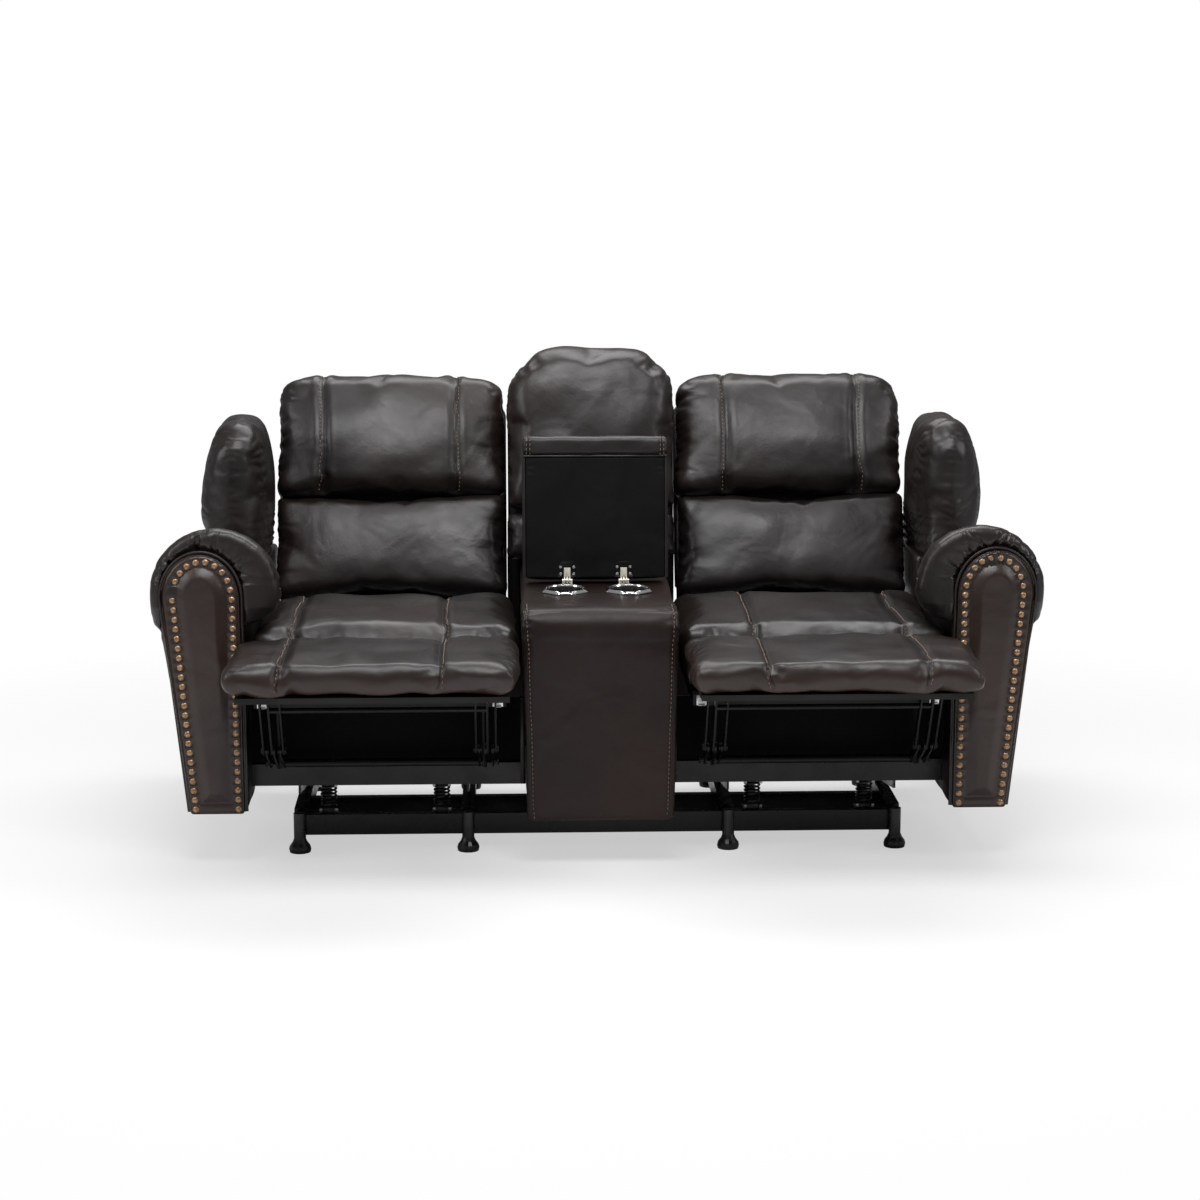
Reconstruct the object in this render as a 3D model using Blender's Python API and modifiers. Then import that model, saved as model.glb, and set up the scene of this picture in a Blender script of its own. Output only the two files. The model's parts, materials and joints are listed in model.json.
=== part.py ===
"""Double reclining loveseat on a rocker base, with a centre console.

Metres, +Z up. The front faces -Y, and left and right are as seen from the front.
Depths are distances behind the front of the arms. The pieces stand as photographed:
footrests out, seat backs part reclined, console lid up.
"""

import math

import bmesh
import bpy
from mathutils import Matrix, Vector

# Clearances
GAP = 0.0003  # between pieces that seat on each other
PIN_PLAY = 0.0004  # radial play of a pin in its hole
SOFT_GAP = 0.004  # between soft pieces that move past each other

# Overall places
ARM_FRONT_Y = -0.2224  # the front of the arms, which puts the middle of the depth at y = 0
FLOOR_CLEARANCE = 0.112  # under the arms
ARM_LENGTH = 0.80
MECHANISM_X = 0.462  # middle of one seat's mechanism
MECHANISM_HALF = 0.181  # from there to a side plate

# Console
CONSOLE_WIDTH = 0.325
CONSOLE_FOOT_WIDTH = 0.303
CONSOLE_BOTTOM_Z = 0.098
DECK_Z = 0.548
CONSOLE_FRONT = -0.050
CONSOLE_NOSE_LENGTH = 0.055
CONSOLE_NOSE_HEIGHT = 0.036

# Cup holders
CUP_SPACING = 0.138
CUP_DEPTH_PLACE = 0.190
CUP_RIM_RADIUS = 0.053
CUP_RADIUS = 0.041
CUP_WALL = 0.0025
CUP_DEPTH = 0.072
CUP_FLOOR_EDGE = 0.006  # rounding where its wall meets its floor
CUP_RIM_HEIGHT = 0.008

# Console lid, in its own frame: up along the open lid, forward out of its underside
LID_AXIS_DEPTH = 0.272
LID_AXIS_Z = 0.558
LID_LEAN = math.radians(6.0)
LID_WIDTH = 0.320
LID_LENGTH = 0.316
LID_FOOT = 0.000
LID_FACE = 0.008  # its lining lies this far behind the axis
LID_THICKNESS = 0.055
HINGE_X = 0.062
HINGE_ARM_WIDTH = 0.014
HINGE_KNUCKLE_RADIUS = 0.0065
HINGE_LUG_RADIUS = 0.0042
HINGE_PIN_RADIUS = 0.0022
HINGE_PLATE_WIDTH = 0.042
HINGE_PLATE_FOOT = 0.004
HINGE_PLATE_TOP = 0.041
HINGE_ARM_TOP = 0.028
HINGE_PLATE_THICKNESS = 0.0030
HINGE_LUG_THICKNESS = 0.0040
HINGE_LUG_ROOT = 0.004  # of a lug inside the deck

# Console back, tilted about the foot of its board
CONSOLE_BACK_FROM_REAR = 0.040  # from the foot of its board to the rear panel
CONSOLE_BACK_TILT = math.radians(12.0)
CONSOLE_BACK_WIDTH = 0.384
CONSOLE_BACK_LENGTH = 0.489
CONSOLE_BACK_SPLIT = 0.118
CONSOLE_BACK_BOARD = 0.035
CONSOLE_BOARD_MARGIN = 0.010  # inside the pillows on both sides
CONSOLE_BOARD_EDGE = 0.002
CONSOLE_LOWER_INSET = 0.003
CONSOLE_PILLOW_THICKNESS = 0.150
CONSOLE_LOWER_THICKNESS = 0.120

# Arms: a roll on a slab whose outer side draws in towards the floor
ARM_INNER_X = 0.746
ARM_OUTER_X = 0.940
ARM_ROLL_INNER_X = 0.665
ARM_ROLL_Z = 0.574
ARM_TOP_Z = 0.716
ARM_WALL_INSET = 0.022  # from the roll's outer side to the top of the wall
ARM_WALL_TOP_Z = 0.497
ARM_WALL_FOOT_X = 0.863
ARM_TUCK_Z = 0.510
ARM_SLOPE_LENGTH = 0.36  # over this depth the roll falls and narrows
ARM_DROP = 0.098
ARM_ROLL_DROP = 0.052
ARM_REAR_INNER_X = 0.740
ARM_NARROWING = 0.015  # of its outer side from front to rear
ARM_EDGE = 0.020  # rounding of both ends
ARM_SLOPE_STATIONS = (0.333, 0.611, 0.889, 1.0)  # shares of the slope
ARM_REAR_STATION = 0.75  # share of the length
PANEL_THICKNESS = 0.022
PANEL_INNER_X = 0.750
PANEL_TOP_Z = 0.668
PANEL_EDGE = 0.006

# Wing pillows
WING_INNER_X = 0.721
WING_THICKNESS = 0.163
WING_FOOT = 0.072  # the lowest share of its form, which the arm cuts off flat
WING_TAPER = 0.022  # narrower at the top
WING_FRONT = 0.360
WING_LENGTH = 0.340
WING_TOP_Z = 0.898

# Seat
SEAT_INNER_GAP = 0.006
SEAT_OUTER_GAP = 0.006
SEAT_FRONT = 0.000
SEAT_LENGTH = 0.452
SEAT_TOP_Z = 0.514
SEAT_THICKNESS = 0.154
SEAT_SEAM_INNER_X = 0.330
SEAT_SEAM_OUTER_X = 0.640
CHANNEL_DEPTH = 0.006
CHANNEL_HALF_WIDTH = 0.012
DECK_THICKNESS = 0.024
DECK_HALF_WIDTH = 0.265
DECK_FRONT = 0.000
DECK_LENGTH = 0.440
HANGER_EYE_RADIUS = 0.012
HANGER_LENGTH = 0.080  # under the deck
HANGER_NECK = 0.012
HANGER_NECK_DROP = 0.040
HANGER_NOSE = 0.006
HANGER_NOSE_TIP = 0.003
HANGER_TOP_GAP = 0.001  # from its nose to the top of the deck
HANGER_HEEL = 0.004

# Seat back, tilted about its pivot
PIVOT_DEPTH = 0.550
PIVOT_Z = 0.470
BACK_TILT = math.radians(25.0)
BACK_INNER_X = 0.194
BACK_OUTER_X = 0.722
HEAD_OUTER_X = 0.717
BACK_BOARD_FOOT = 0.026
BACK_FACE = 0.0155  # of the board, in front of the pivot
BACK_LENGTH = 0.498
BACK_BOARD = 0.045
BACK_BOARD_MARGIN = 0.004  # inside the head pillow on both sides
BACK_BOARD_EDGE = 0.004
BOARD_DROP = 0.040  # the boards of all backs stop this far below their pillows
EAR_FOOT = 0.030  # where a back ear meets the board
EAR_TOP = 0.120
EAR_REAR = 0.008  # behind the middle of the board
EAR_FRONT = 0.016  # in front of the middle of the board
EAR_EYE_MARGIN = 0.0025
EAR_PIN_REACH = 0.002  # of the back pin past the side plate
LUMBAR_FOOT = -0.010
LUMBAR_TOP = 0.225
LUMBAR_THICKNESS = 0.092
HEAD_PILLOW_THICKNESS = 0.122
HEAD_RISE = 0.010  # above the board
HEAD_SEAM_INNER_X = 0.310
HEAD_SEAM_OUTER_X = 0.612

# Footrest
FOOTREST_AXIS_DEPTH = -0.016
FOOTREST_AXIS_Z = 0.405
FOOTREST_INNER_GAP = 0.007
FOOTREST_WIDTH = 0.594
FOOTREST_REAR = -0.026
FOOTREST_LENGTH = 0.331
FOOTREST_TOP_Z = 0.503
FOOTREST_THICKNESS = 0.072
FOOTREST_BOARD = 0.012
FOOTREST_BOARD_MARGIN = 0.022  # inside the front of the pad
FOOTREST_BOARD_BESIDE = 0.040  # beyond the brackets
FOOTREST_BOARD_REAR = 0.006  # inside the rear of the pad
BRACKET_EYE_RADIUS = 0.011
BRACKET_NOSE = 0.020
BRACKET_HEEL = 0.010

# Footrest linkage
LINK_PIVOT_DEPTH = 0.055
LINK_PIVOT_Z = 0.205
LINK_KNEE_DEPTH = -0.0374
LINK_KNEE_Z = 0.2549
BRACKET_PIVOT_DEPTH = -0.130
BRACKET_PIVOT_Z = 0.397
LINK_THICKNESS = 0.004
LINK_OUTSET = 0.216  # of the hangers, from the middle of the mechanism
LINK_HALF_WIDTH = 0.010
REAR_LINK_HALF_WIDTH = 0.0125
LINK_PIN_RADIUS = 0.0045
TORQUE_TUBE_RADIUS = 0.009
CROSS_BAR_RADIUS = 0.006

# Side plates and rocker
PLATE_THICKNESS = 0.005
PLATE_FROM_REAR = 0.022  # in front of the rear panel
PLATE_SHOULDER_Z = 0.300
PLATE_PIVOT_RADIUS = 0.0145
BACK_PIN_RADIUS = 0.006
ROCK_AXIS_DEPTH = 0.360
ROCK_CLEAR_ANGLE = math.radians(7.6)
ROCKER_BULGE_RADIUS = 6.0

# Front board and rear panel of the rocking frame
FRONT_RAIL_DEPTH = 0.088
FRONT_RAIL_THICKNESS = 0.014
FRONT_RAIL_BOTTOM_Z = 0.147
FRONT_RAIL_TOP_Z = 0.194
FRONT_CLOTH_THICKNESS = 0.006
REAR_PANEL_DEPTH = 0.622
REAR_PANEL_THICKNESS = 0.018
REAR_PANEL_BOTTOM_Z = 0.125
REAR_PANEL_TOP_Z = 0.405
REAR_PANEL_EDGE = 0.004

# Base
BASE_RAIL_TOP_Z = 0.086
BASE_RAIL_BOTTOM_Z = 0.045
BASE_RAIL_WIDTH = 0.028
BASE_RAIL_END = 0.665
CROSS_RAIL_BOTTOM_Z = 0.033
CROSS_RAIL_TOP_Z = 0.0775
CROSS_RAIL_THICKNESS = 0.022
FRONT_CROSS_DEPTH = 0.1045
REAR_CROSS_DEPTH = 0.252
CROSS_RAIL_INSET = 0.002  # its ends stop short of the middle of the outer feet
FOOT_STEM_RADIUS = 0.013
FOOT_POD_RADIUS = 0.024
FOOT_POD_HEIGHT = 0.030
FOOT_DEPTH = 0.091
REAR_FOOT_DEPTH = 0.635

# Rocker springs
SPRING_DEPTH = 0.170
SPRING_OFFSET = 0.058  # inboard of the side plate
SPRING_RADIUS = 0.0165
SPRING_WIRE_RADIUS = 0.0026
SPRING_TURNS = 6
SPRING_POINTS = 9
SPRING_FOOT_Z = 0.070
SPRING_TOP_Z = 0.138
LUG_THICKNESS = 0.004
LUG_HALF_LENGTH = 0.018

# Release lever on the outer side of the arm
LEVER_DEPTH = 0.230
LEVER_Z = 0.330
LEVER_LENGTH = 0.120
LEVER_WIDTH = 0.026
LEVER_THICKNESS = 0.010
LEVER_BOSS_RADIUS = 0.020
LEVER_BOSS_LENGTH = 0.006
LEVER_ROOT = 0.001  # of the handle inside the boss
LEVER_STAND = 0.0009  # of the boss off the arm

# Levels of detail
SECTION_STEPS = 6  # points in a quarter of a rounded section
PILLOW_ROWS = (-1.0, -0.86, -0.45, 0.0, 0.45, 0.86, 1.0)
PILLOW_LAYERS = 3
TURNED_STEPS = 16

SIDES = {"left": -1.0, "right": 1.0}
ACROSS = (Vector((1, 0, 0)), Vector((0, 0, 1)), Vector((0, -1, 0)))  # a pillow that stands up
LYING = (Vector((1, 0, 0)), Vector((0, 1, 0)), Vector((0, 0, 1)))  # a pillow that lies flat
ON_EDGE = (Vector((0, 1, 0)), Vector((0, 0, 1)), Vector((1, 0, 0)))  # a pillow that faces sideways


def behind(depth):
    """The y of a place this far behind the front of the arms."""
    return ARM_FRONT_Y + depth


# Scene and materials


def clear_scene():
    for item in list(bpy.data.objects):
        bpy.data.objects.remove(item, do_unlink=True)


def new_collection(name):
    collection = bpy.data.collections.new(name)
    bpy.context.scene.collection.children.link(collection)
    return collection


def finish(name, colour, roughness, metallic=0.0):
    material = bpy.data.materials.new(name)
    material.use_nodes = True
    shader = material.node_tree.nodes["Principled BSDF"]
    shader.inputs["Base Color"].default_value = (*colour, 1.0)
    shader.inputs["Roughness"].default_value = roughness
    shader.inputs["Metallic"].default_value = metallic
    material.diffuse_color = (*colour, 1.0)
    return material


clear_scene()
MODEL = new_collection("rocker_recliner_loveseat")
CUTTERS = new_collection("cutters")
LEATHER = finish("dark_brown_leather", (0.032, 0.024, 0.021), 0.38)
PANEL_LEATHER = finish("arm_panel_leather", (0.055, 0.036, 0.029), 0.42)
LID_LINING = finish("black_lid_lining", (0.012, 0.011, 0.010), 0.5)
BLACK_STEEL = finish("black_steel", (0.012, 0.012, 0.013), 0.3, 0.6)
SPRING_STEEL = finish("spring_steel", (0.03, 0.03, 0.032), 0.35, 0.8)
BLACK_CLOTH = finish("black_dust_cloth", (0.01, 0.01, 0.01), 0.9)
BLACK_PLASTIC = finish("black_foot_plastic", (0.013, 0.013, 0.013), 0.35)
NICKEL = finish("satin_nickel", (0.62, 0.60, 0.55), 0.3, 1.0)
CHROME = finish("cup_chrome", (0.75, 0.75, 0.77), 0.12, 1.0)


# Making and joining shapes


def add_piece(name, mesh, material, parent=None, location=(0, 0, 0)):
    piece = bpy.data.objects.new(name, mesh)
    piece.data.materials.append(material)
    piece.location = location
    piece.parent = parent
    MODEL.objects.link(piece)
    return piece


def move_to(collection, piece):
    for owner in list(piece.users_collection):
        owner.objects.unlink(piece)
    collection.objects.link(piece)


def axis_empty(name, location, tilt=0.0, parent=None):
    """An empty on a joint's axis, leaning back by the tilt."""
    empty = bpy.data.objects.new(name, None)
    origin = Vector((0, 0, 0)) if parent is None else parent.matrix_world.translation
    empty.location = Vector(location) - origin
    empty.rotation_euler = (-tilt, 0.0, 0.0)
    empty.parent = parent
    MODEL.objects.link(empty)
    bpy.context.view_layer.update()
    return empty


def hold(piece, empty):
    """Hangs a piece that was placed in the world on an empty."""
    bpy.context.view_layer.update()
    piece.parent = empty
    piece.matrix_parent_inverse = empty.matrix_world.inverted()
    return piece


def box(name, low, high, material, parent=None, bevel=0.0):
    bpy.ops.mesh.primitive_cube_add(size=1.0, location=(0, 0, 0))
    piece = bpy.context.object
    piece.name = name
    piece.data.name = name
    piece.scale = [b - a for a, b in zip(low, high)]
    bpy.ops.object.transform_apply(location=False, rotation=False, scale=True)
    piece.location = [(a + b) / 2 for a, b in zip(low, high)]
    piece.parent = parent
    piece.data.materials.append(material)
    move_to(MODEL, piece)
    if bevel:
        round_edges(piece, bevel)
    return piece


def round_edges(piece, width, segments=2):
    bevel = piece.modifiers.new("round_edges", "BEVEL")
    bevel.width = width
    bevel.segments = segments
    bevel.limit_method = "ANGLE"
    bevel.angle_limit = math.radians(50)
    return bevel


def arc(centre, radii, start, end, steps):
    """Points of an elliptical arc, both ends included, angles in degrees."""
    points = []
    for i in range(steps + 1):
        angle = math.radians(start + (end - start) * i / steps)
        points.append((centre[0] + radii[0] * math.cos(angle), centre[1] + radii[1] * math.sin(angle)))
    return points


def plate(name, outline, x, thickness, material, parent=None, holes=()):
    """A flat outline in the YZ plane, centred on x."""
    curve = bpy.data.curves.new(name, "CURVE")
    curve.dimensions = "2D"
    curve.fill_mode = "BOTH"
    curve.extrude = thickness / 2
    for loop in (outline, *holes):
        spline = curve.splines.new("POLY")
        spline.points.add(len(loop) - 1)
        for point, (y, z) in zip(spline.points, loop):
            point.co = (y, z, 0.0, 1.0)
        spline.use_cyclic_u = True
    piece = add_piece(name, curve, material, parent, (x, 0, 0))
    piece.rotation_euler = (math.pi / 2, 0.0, math.pi / 2)
    return piece


def as_mesh(piece):
    """Turns a curve object into a mesh object of the same name, with its caps welded."""
    bpy.context.view_layer.update()
    evaluated = piece.evaluated_get(bpy.context.evaluated_depsgraph_get())
    mesh = bpy.data.meshes.new_from_object(evaluated)
    shape = bmesh.new()
    shape.from_mesh(mesh)
    bmesh.ops.remove_doubles(shape, verts=shape.verts, dist=0.00001)
    bmesh.ops.recalc_face_normals(shape, faces=shape.faces)
    shape.to_mesh(mesh)
    shape.free()
    name, parent, world = piece.name, piece.parent, piece.matrix_world.copy()
    material = piece.data.materials[0]
    bpy.data.objects.remove(piece, do_unlink=True)
    mesh.materials.clear()
    solid = add_piece(name, mesh, material, parent)
    bpy.context.view_layer.update()
    solid.matrix_world = world
    return solid


def combine(piece, other, operation):
    """Cuts a hidden shape out of a piece, or fuses it on."""
    move_to(CUTTERS, other)
    other.hide_render = True
    other.display_type = "WIRE"
    modifier = piece.modifiers.new(operation.lower(), "BOOLEAN")
    modifier.operation = operation
    modifier.solver = "EXACT"
    modifier.object = other
    return piece


def rod(name, start, end, radius, material, parent=None, steps=12):
    """A round bar between two places, along X."""
    shape = bmesh.new()
    bmesh.ops.create_cone(
        shape, cap_ends=True, segments=steps, radius1=radius, radius2=radius, depth=end[0] - start[0]
    )
    mesh = bpy.data.meshes.new(name)
    shape.to_mesh(mesh)
    shape.free()
    middle = (Vector(start) + Vector(end)) / 2
    piece = add_piece(name, mesh, material, parent, middle)
    piece.rotation_euler = (0.0, math.pi / 2, 0.0)
    return piece


def turned(name, profile, location, material, parent=None):
    """A turned shape from (radius, height) points that run down its outer side from axis to axis."""
    mesh = bpy.data.meshes.new(name)
    points = [(r, 0.0, z) for r, z in profile]
    mesh.from_pydata(points, [(i, i + 1) for i in range(len(points) - 1)], [])
    piece = add_piece(name, mesh, material, parent, location)
    screw = piece.modifiers.new("turn", "SCREW")
    screw.steps = screw.render_steps = TURNED_STEPS
    screw.use_merge_vertices = True
    screw.merge_threshold = 0.0001
    return piece


def loft(name, rings, material, parent=None):
    """A closed body through rings of equal counts, capped at both ends."""
    shape = bmesh.new()
    loops = [[shape.verts.new(point) for point in ring] for ring in rings]
    for first, second in zip(loops, loops[1:]):
        for i in range(len(first)):
            j = (i + 1) % len(first)
            shape.faces.new((first[i], first[j], second[j], second[i]))
    for cap in (loops[0], loops[-1]):
        face = shape.faces.new(cap)
        bmesh.ops.triangulate(shape, faces=[face])
    bmesh.ops.recalc_face_normals(shape, faces=shape.faces)
    mesh = bpy.data.meshes.new(name)
    shape.to_mesh(mesh)
    shape.free()
    return add_piece(name, mesh, material, parent)


def pillow(
    name, size, centre, axes, material, parent=None, seams=(), crown=1.0, base=0.35, pull=0.03, corner=0.03
):
    """A cushion: a crowned face, a flatter base, sides that draw in between the corners, sewn channels.

    size holds width, length and thickness along the three axes, and seams lie across the width.
    The crown and the base are how much of the half thickness each face gains from edge to middle,
    and corner is how far the two corners at the far end of the length are drawn in.
    """
    half = [s / 2 for s in size]
    stations = [-1.0, -0.84]
    for seam in seams:
        middle = seam / half[0]
        stations += [middle - CHANNEL_HALF_WIDTH / half[0], middle, middle + CHANNEL_HALF_WIDTH / half[0]]
        if seam is seams[0] and len(seams) > 1:
            stations.append((seams[0] + seams[1]) / 2 / half[0])
    if not seams:
        stations += [-0.56, -0.28, 0.0, 0.28, 0.56]
    stations += [0.84, 1.0]
    counts = (len(stations) - 1, len(PILLOW_ROWS) - 1, PILLOW_LAYERS)
    shape = bmesh.new()
    bmesh.ops.create_cube(shape, size=2.0)
    for axis, count in enumerate(counts):
        along = [e for e in shape.edges if abs(e.verts[0].co[axis] - e.verts[1].co[axis]) > 1.5]
        bmesh.ops.subdivide_edges(shape, edges=along, cuts=count - 1, use_grid_fill=True)
    for vert in shape.verts:
        a = stations[round((vert.co.x + 1) / 2 * counts[0])]
        b = PILLOW_ROWS[round((vert.co.y + 1) / 2 * counts[1])]
        c = vert.co.z
        draw = corner if b > 0 else 0.03
        rise = (1 - abs(a) ** 3.5) * (1 - abs(b) ** 3.5)
        gain = crown if c > 0 else base
        across = half[0] * a * (1 - pull * (1 - b * b) - 0.04 * c * c - draw * abs(b) ** 9)
        along = half[1] * b * (1 - pull * (1 - a * a) - 0.04 * c * c - draw * abs(a) ** 9)
        through = half[2] * c * (1 - gain * 0.45 + gain * 0.45 * rise)
        if c > 0:
            for seam in seams:
                nearness = max(0.0, 1 - abs(half[0] * a - seam) / CHANNEL_HALF_WIDTH)
                through -= CHANNEL_DEPTH * nearness * c * min(1.0, 3 * rise)
        vert.co = axes[0] * across + axes[1] * along + axes[2] * through
    if axes[0].cross(axes[1]).dot(axes[2]) < 0:
        bmesh.ops.reverse_faces(shape, faces=shape.faces)
    mesh = bpy.data.meshes.new(name)
    shape.to_mesh(mesh)
    shape.free()
    mesh.shade_smooth()
    return add_piece(name, mesh, material, parent, centre)


# Base on the floor


def base_rail(name, x):
    """A fore-and-aft rail with a notch below for the rear cross rail."""
    start = FRONT_CROSS_DEPTH + CROSS_RAIL_THICKNESS + GAP
    notch_front = behind(REAR_CROSS_DEPTH - GAP)
    notch_rear = behind(REAR_CROSS_DEPTH + CROSS_RAIL_THICKNESS + GAP)
    notch_top = CROSS_RAIL_TOP_Z + GAP
    outline = [
        (behind(start), BASE_RAIL_BOTTOM_Z),
        (notch_front, BASE_RAIL_BOTTOM_Z),
        (notch_front, notch_top),
        (notch_rear, notch_top),
        (notch_rear, BASE_RAIL_BOTTOM_Z),
        (behind(BASE_RAIL_END), BASE_RAIL_BOTTOM_Z),
        (behind(BASE_RAIL_END), BASE_RAIL_TOP_Z),
        (behind(start), BASE_RAIL_TOP_Z),
    ]
    rail = as_mesh(plate(name, outline, x, BASE_RAIL_WIDTH, BLACK_STEEL))
    inboard = math.copysign(1.0, MECHANISM_X - abs(x)) * math.copysign(1.0, x)
    spring_x = x + inboard * SPRING_OFFSET
    near, far = sorted((x, spring_x + inboard * SPRING_RADIUS * 1.2))
    lug = box(
        name + "_lug",
        (near, behind(SPRING_DEPTH - LUG_HALF_LENGTH), SPRING_FOOT_Z - GAP - LUG_THICKNESS),
        (far, behind(SPRING_DEPTH + LUG_HALF_LENGTH), SPRING_FOOT_Z - GAP),
        BLACK_STEEL,
    )
    return combine(rail, lug, "UNION")


def foot(name, x, depth, top_z):
    profile = [
        (0.0, top_z),
        (FOOT_STEM_RADIUS, top_z),
        (FOOT_STEM_RADIUS, FOOT_POD_HEIGHT),
        (FOOT_STEM_RADIUS * 1.25, FOOT_POD_HEIGHT * 0.73),
        (FOOT_POD_RADIUS * 0.92, FOOT_POD_HEIGHT * 0.47),
        (FOOT_POD_RADIUS, FOOT_POD_HEIGHT * 0.23),
        (FOOT_POD_RADIUS * 0.94, 0.0),
        (0.0, 0.0),
    ]
    return turned(name, profile, (x, behind(depth), 0.0), BLACK_PLASTIC)


def coil_gap(points, wire_radius, turn_points):
    """The least clear distance between turns, measured on the points."""
    least = 1.0
    for i, first in enumerate(points):
        for second in points[i + turn_points // 2 + 1 :]:
            least = min(least, (first - second).length - 2 * wire_radius)
    return least


def spring(name, x):
    """A coil on straight ends, standing between the lug of the base rail and the lug of the side plate."""
    straight = 4 * SPRING_WIRE_RADIUS
    low, high = SPRING_FOOT_Z + straight, SPRING_TOP_Z - straight
    count = SPRING_TURNS * SPRING_POINTS
    points = [Vector((SPRING_RADIUS, 0.0, SPRING_FOOT_Z))]
    for i in range(count + 1):
        angle = 2 * math.pi * i / SPRING_POINTS
        height = low + (high - low) * i / count
        points.append(Vector((SPRING_RADIUS * math.cos(angle), SPRING_RADIUS * math.sin(angle), height)))
    points.append(Vector((SPRING_RADIUS, 0.0, SPRING_TOP_Z)))
    curve = bpy.data.curves.new(name, "CURVE")
    curve.dimensions = "3D"
    curve.bevel_depth = SPRING_WIRE_RADIUS
    curve.bevel_resolution = 1
    curve.use_fill_caps = True
    spline = curve.splines.new("POLY")
    spline.points.add(len(points) - 1)
    for target, point in zip(spline.points, points):
        target.co = (*point, 1.0)
    print(name, "least gap between turns", round(coil_gap(points, SPRING_WIRE_RADIUS, SPRING_POINTS), 5))
    return add_piece(name, curve, SPRING_STEEL, None, (x, behind(SPRING_DEPTH), 0.0))


def build_base():
    end = MECHANISM_X + MECHANISM_HALF - CROSS_RAIL_INSET
    for name, depth in (("base_front_rail", FRONT_CROSS_DEPTH), ("base_rear_rail", REAR_CROSS_DEPTH)):
        box(
            name,
            (-end, behind(depth), CROSS_RAIL_BOTTOM_Z),
            (end, behind(depth + CROSS_RAIL_THICKNESS), CROSS_RAIL_TOP_Z),
            BLACK_STEEL,
        )
    for side, sign in SIDES.items():
        for place, offset in (("outer", MECHANISM_HALF), ("inner", -MECHANISM_HALF)):
            x = sign * (MECHANISM_X + offset)
            label = f"{side}_{place}"
            base_rail(f"{label}_base_rail", x)
            foot(f"{label}_front_foot", x, FOOT_DEPTH, BASE_RAIL_TOP_Z)
            foot(f"{label}_rear_foot", x, REAR_FOOT_DEPTH, BASE_RAIL_BOTTOM_Z - GAP)
            spring(f"{label}_rocker_spring", x - sign * math.copysign(SPRING_OFFSET, offset))


# Rocking frame


def rocker_edge(steps=5):
    """The lower edge of a side plate: a shallow rocker that lifts away on both sides of its axis."""
    front = FRONT_RAIL_DEPTH + FRONT_RAIL_THICKNESS + FRONT_CLOTH_THICKNESS + GAP - ROCK_AXIS_DEPTH
    rear = REAR_PANEL_DEPTH - PLATE_FROM_REAR - ROCK_AXIS_DEPTH
    reaches = [front * (steps - i) / steps for i in range(steps)]
    reaches += [rear * i / steps for i in range(steps + 1)]
    points = []
    for reach in reaches:
        lift = abs(reach) * math.tan(ROCK_CLEAR_ANGLE) + reach * reach / (2 * ROCKER_BULGE_RADIUS)
        points.append((behind(ROCK_AXIS_DEPTH + reach), BASE_RAIL_TOP_Z + GAP + lift))
    return points


def side_plate(name, x, frame_axis):
    """A steel plate that rolls on the base rail, carries the seat deck and ends in the back pivot."""
    deck_bottom = SEAT_TOP_Z - SEAT_THICKNESS - GAP - DECK_THICKNESS
    front = behind(FRONT_RAIL_DEPTH + FRONT_RAIL_THICKNESS + FRONT_CLOTH_THICKNESS + GAP)
    pivot = (behind(PIVOT_DEPTH), PIVOT_Z)
    radius = PLATE_PIVOT_RADIUS
    outline = rocker_edge()
    outline += [(behind(REAR_PANEL_DEPTH - PLATE_FROM_REAR), PLATE_SHOULDER_Z)]
    outline += arc(pivot, (radius, radius), 0, 180, 8)
    outline += [(pivot[0] - radius, deck_bottom - GAP), (front, deck_bottom - GAP)]
    hole_radius = BACK_PIN_RADIUS + PIN_PLAY
    hole = arc(pivot, (hole_radius, hole_radius), 0, 345, 23)
    piece = as_mesh(plate(name, outline, x, PLATE_THICKNESS, BLACK_STEEL, None, [hole]))
    inboard = math.copysign(1.0, MECHANISM_X - abs(x)) * math.copysign(1.0, x)
    near, far = sorted((x, x + inboard * (SPRING_OFFSET + SPRING_RADIUS * 1.2)))
    lug = box(
        name + "_lug",
        (near, behind(SPRING_DEPTH - LUG_HALF_LENGTH), SPRING_TOP_Z + GAP),
        (far, behind(SPRING_DEPTH + LUG_HALF_LENGTH), SPRING_TOP_Z + GAP + LUG_THICKNESS),
        BLACK_STEEL,
    )
    combine(piece, lug, "UNION")
    return hold(piece, frame_axis)


def front_board(name, sign, frame_axis):
    """The cross rail between console and arm, with the dust cloth board behind and above it."""
    low_x = sign * (CONSOLE_WIDTH / 2 + GAP)
    high_x = sign * (ARM_INNER_X - GAP)
    low_x, high_x = sorted((low_x, high_x))
    cloth_front = behind(FRONT_RAIL_DEPTH + FRONT_RAIL_THICKNESS)
    deck_bottom = SEAT_TOP_Z - SEAT_THICKNESS - GAP - DECK_THICKNESS
    outline = [
        (behind(FRONT_RAIL_DEPTH), FRONT_RAIL_BOTTOM_Z),
        (cloth_front + FRONT_CLOTH_THICKNESS, FRONT_RAIL_BOTTOM_Z),
        (cloth_front + FRONT_CLOTH_THICKNESS, deck_bottom - GAP),
        (cloth_front, deck_bottom - GAP),
        (cloth_front, FRONT_RAIL_TOP_Z),
        (behind(FRONT_RAIL_DEPTH), FRONT_RAIL_TOP_Z),
    ]
    piece = plate(name, outline, (low_x + high_x) / 2, high_x - low_x, BLACK_STEEL)
    return hold(piece, frame_axis)


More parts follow.
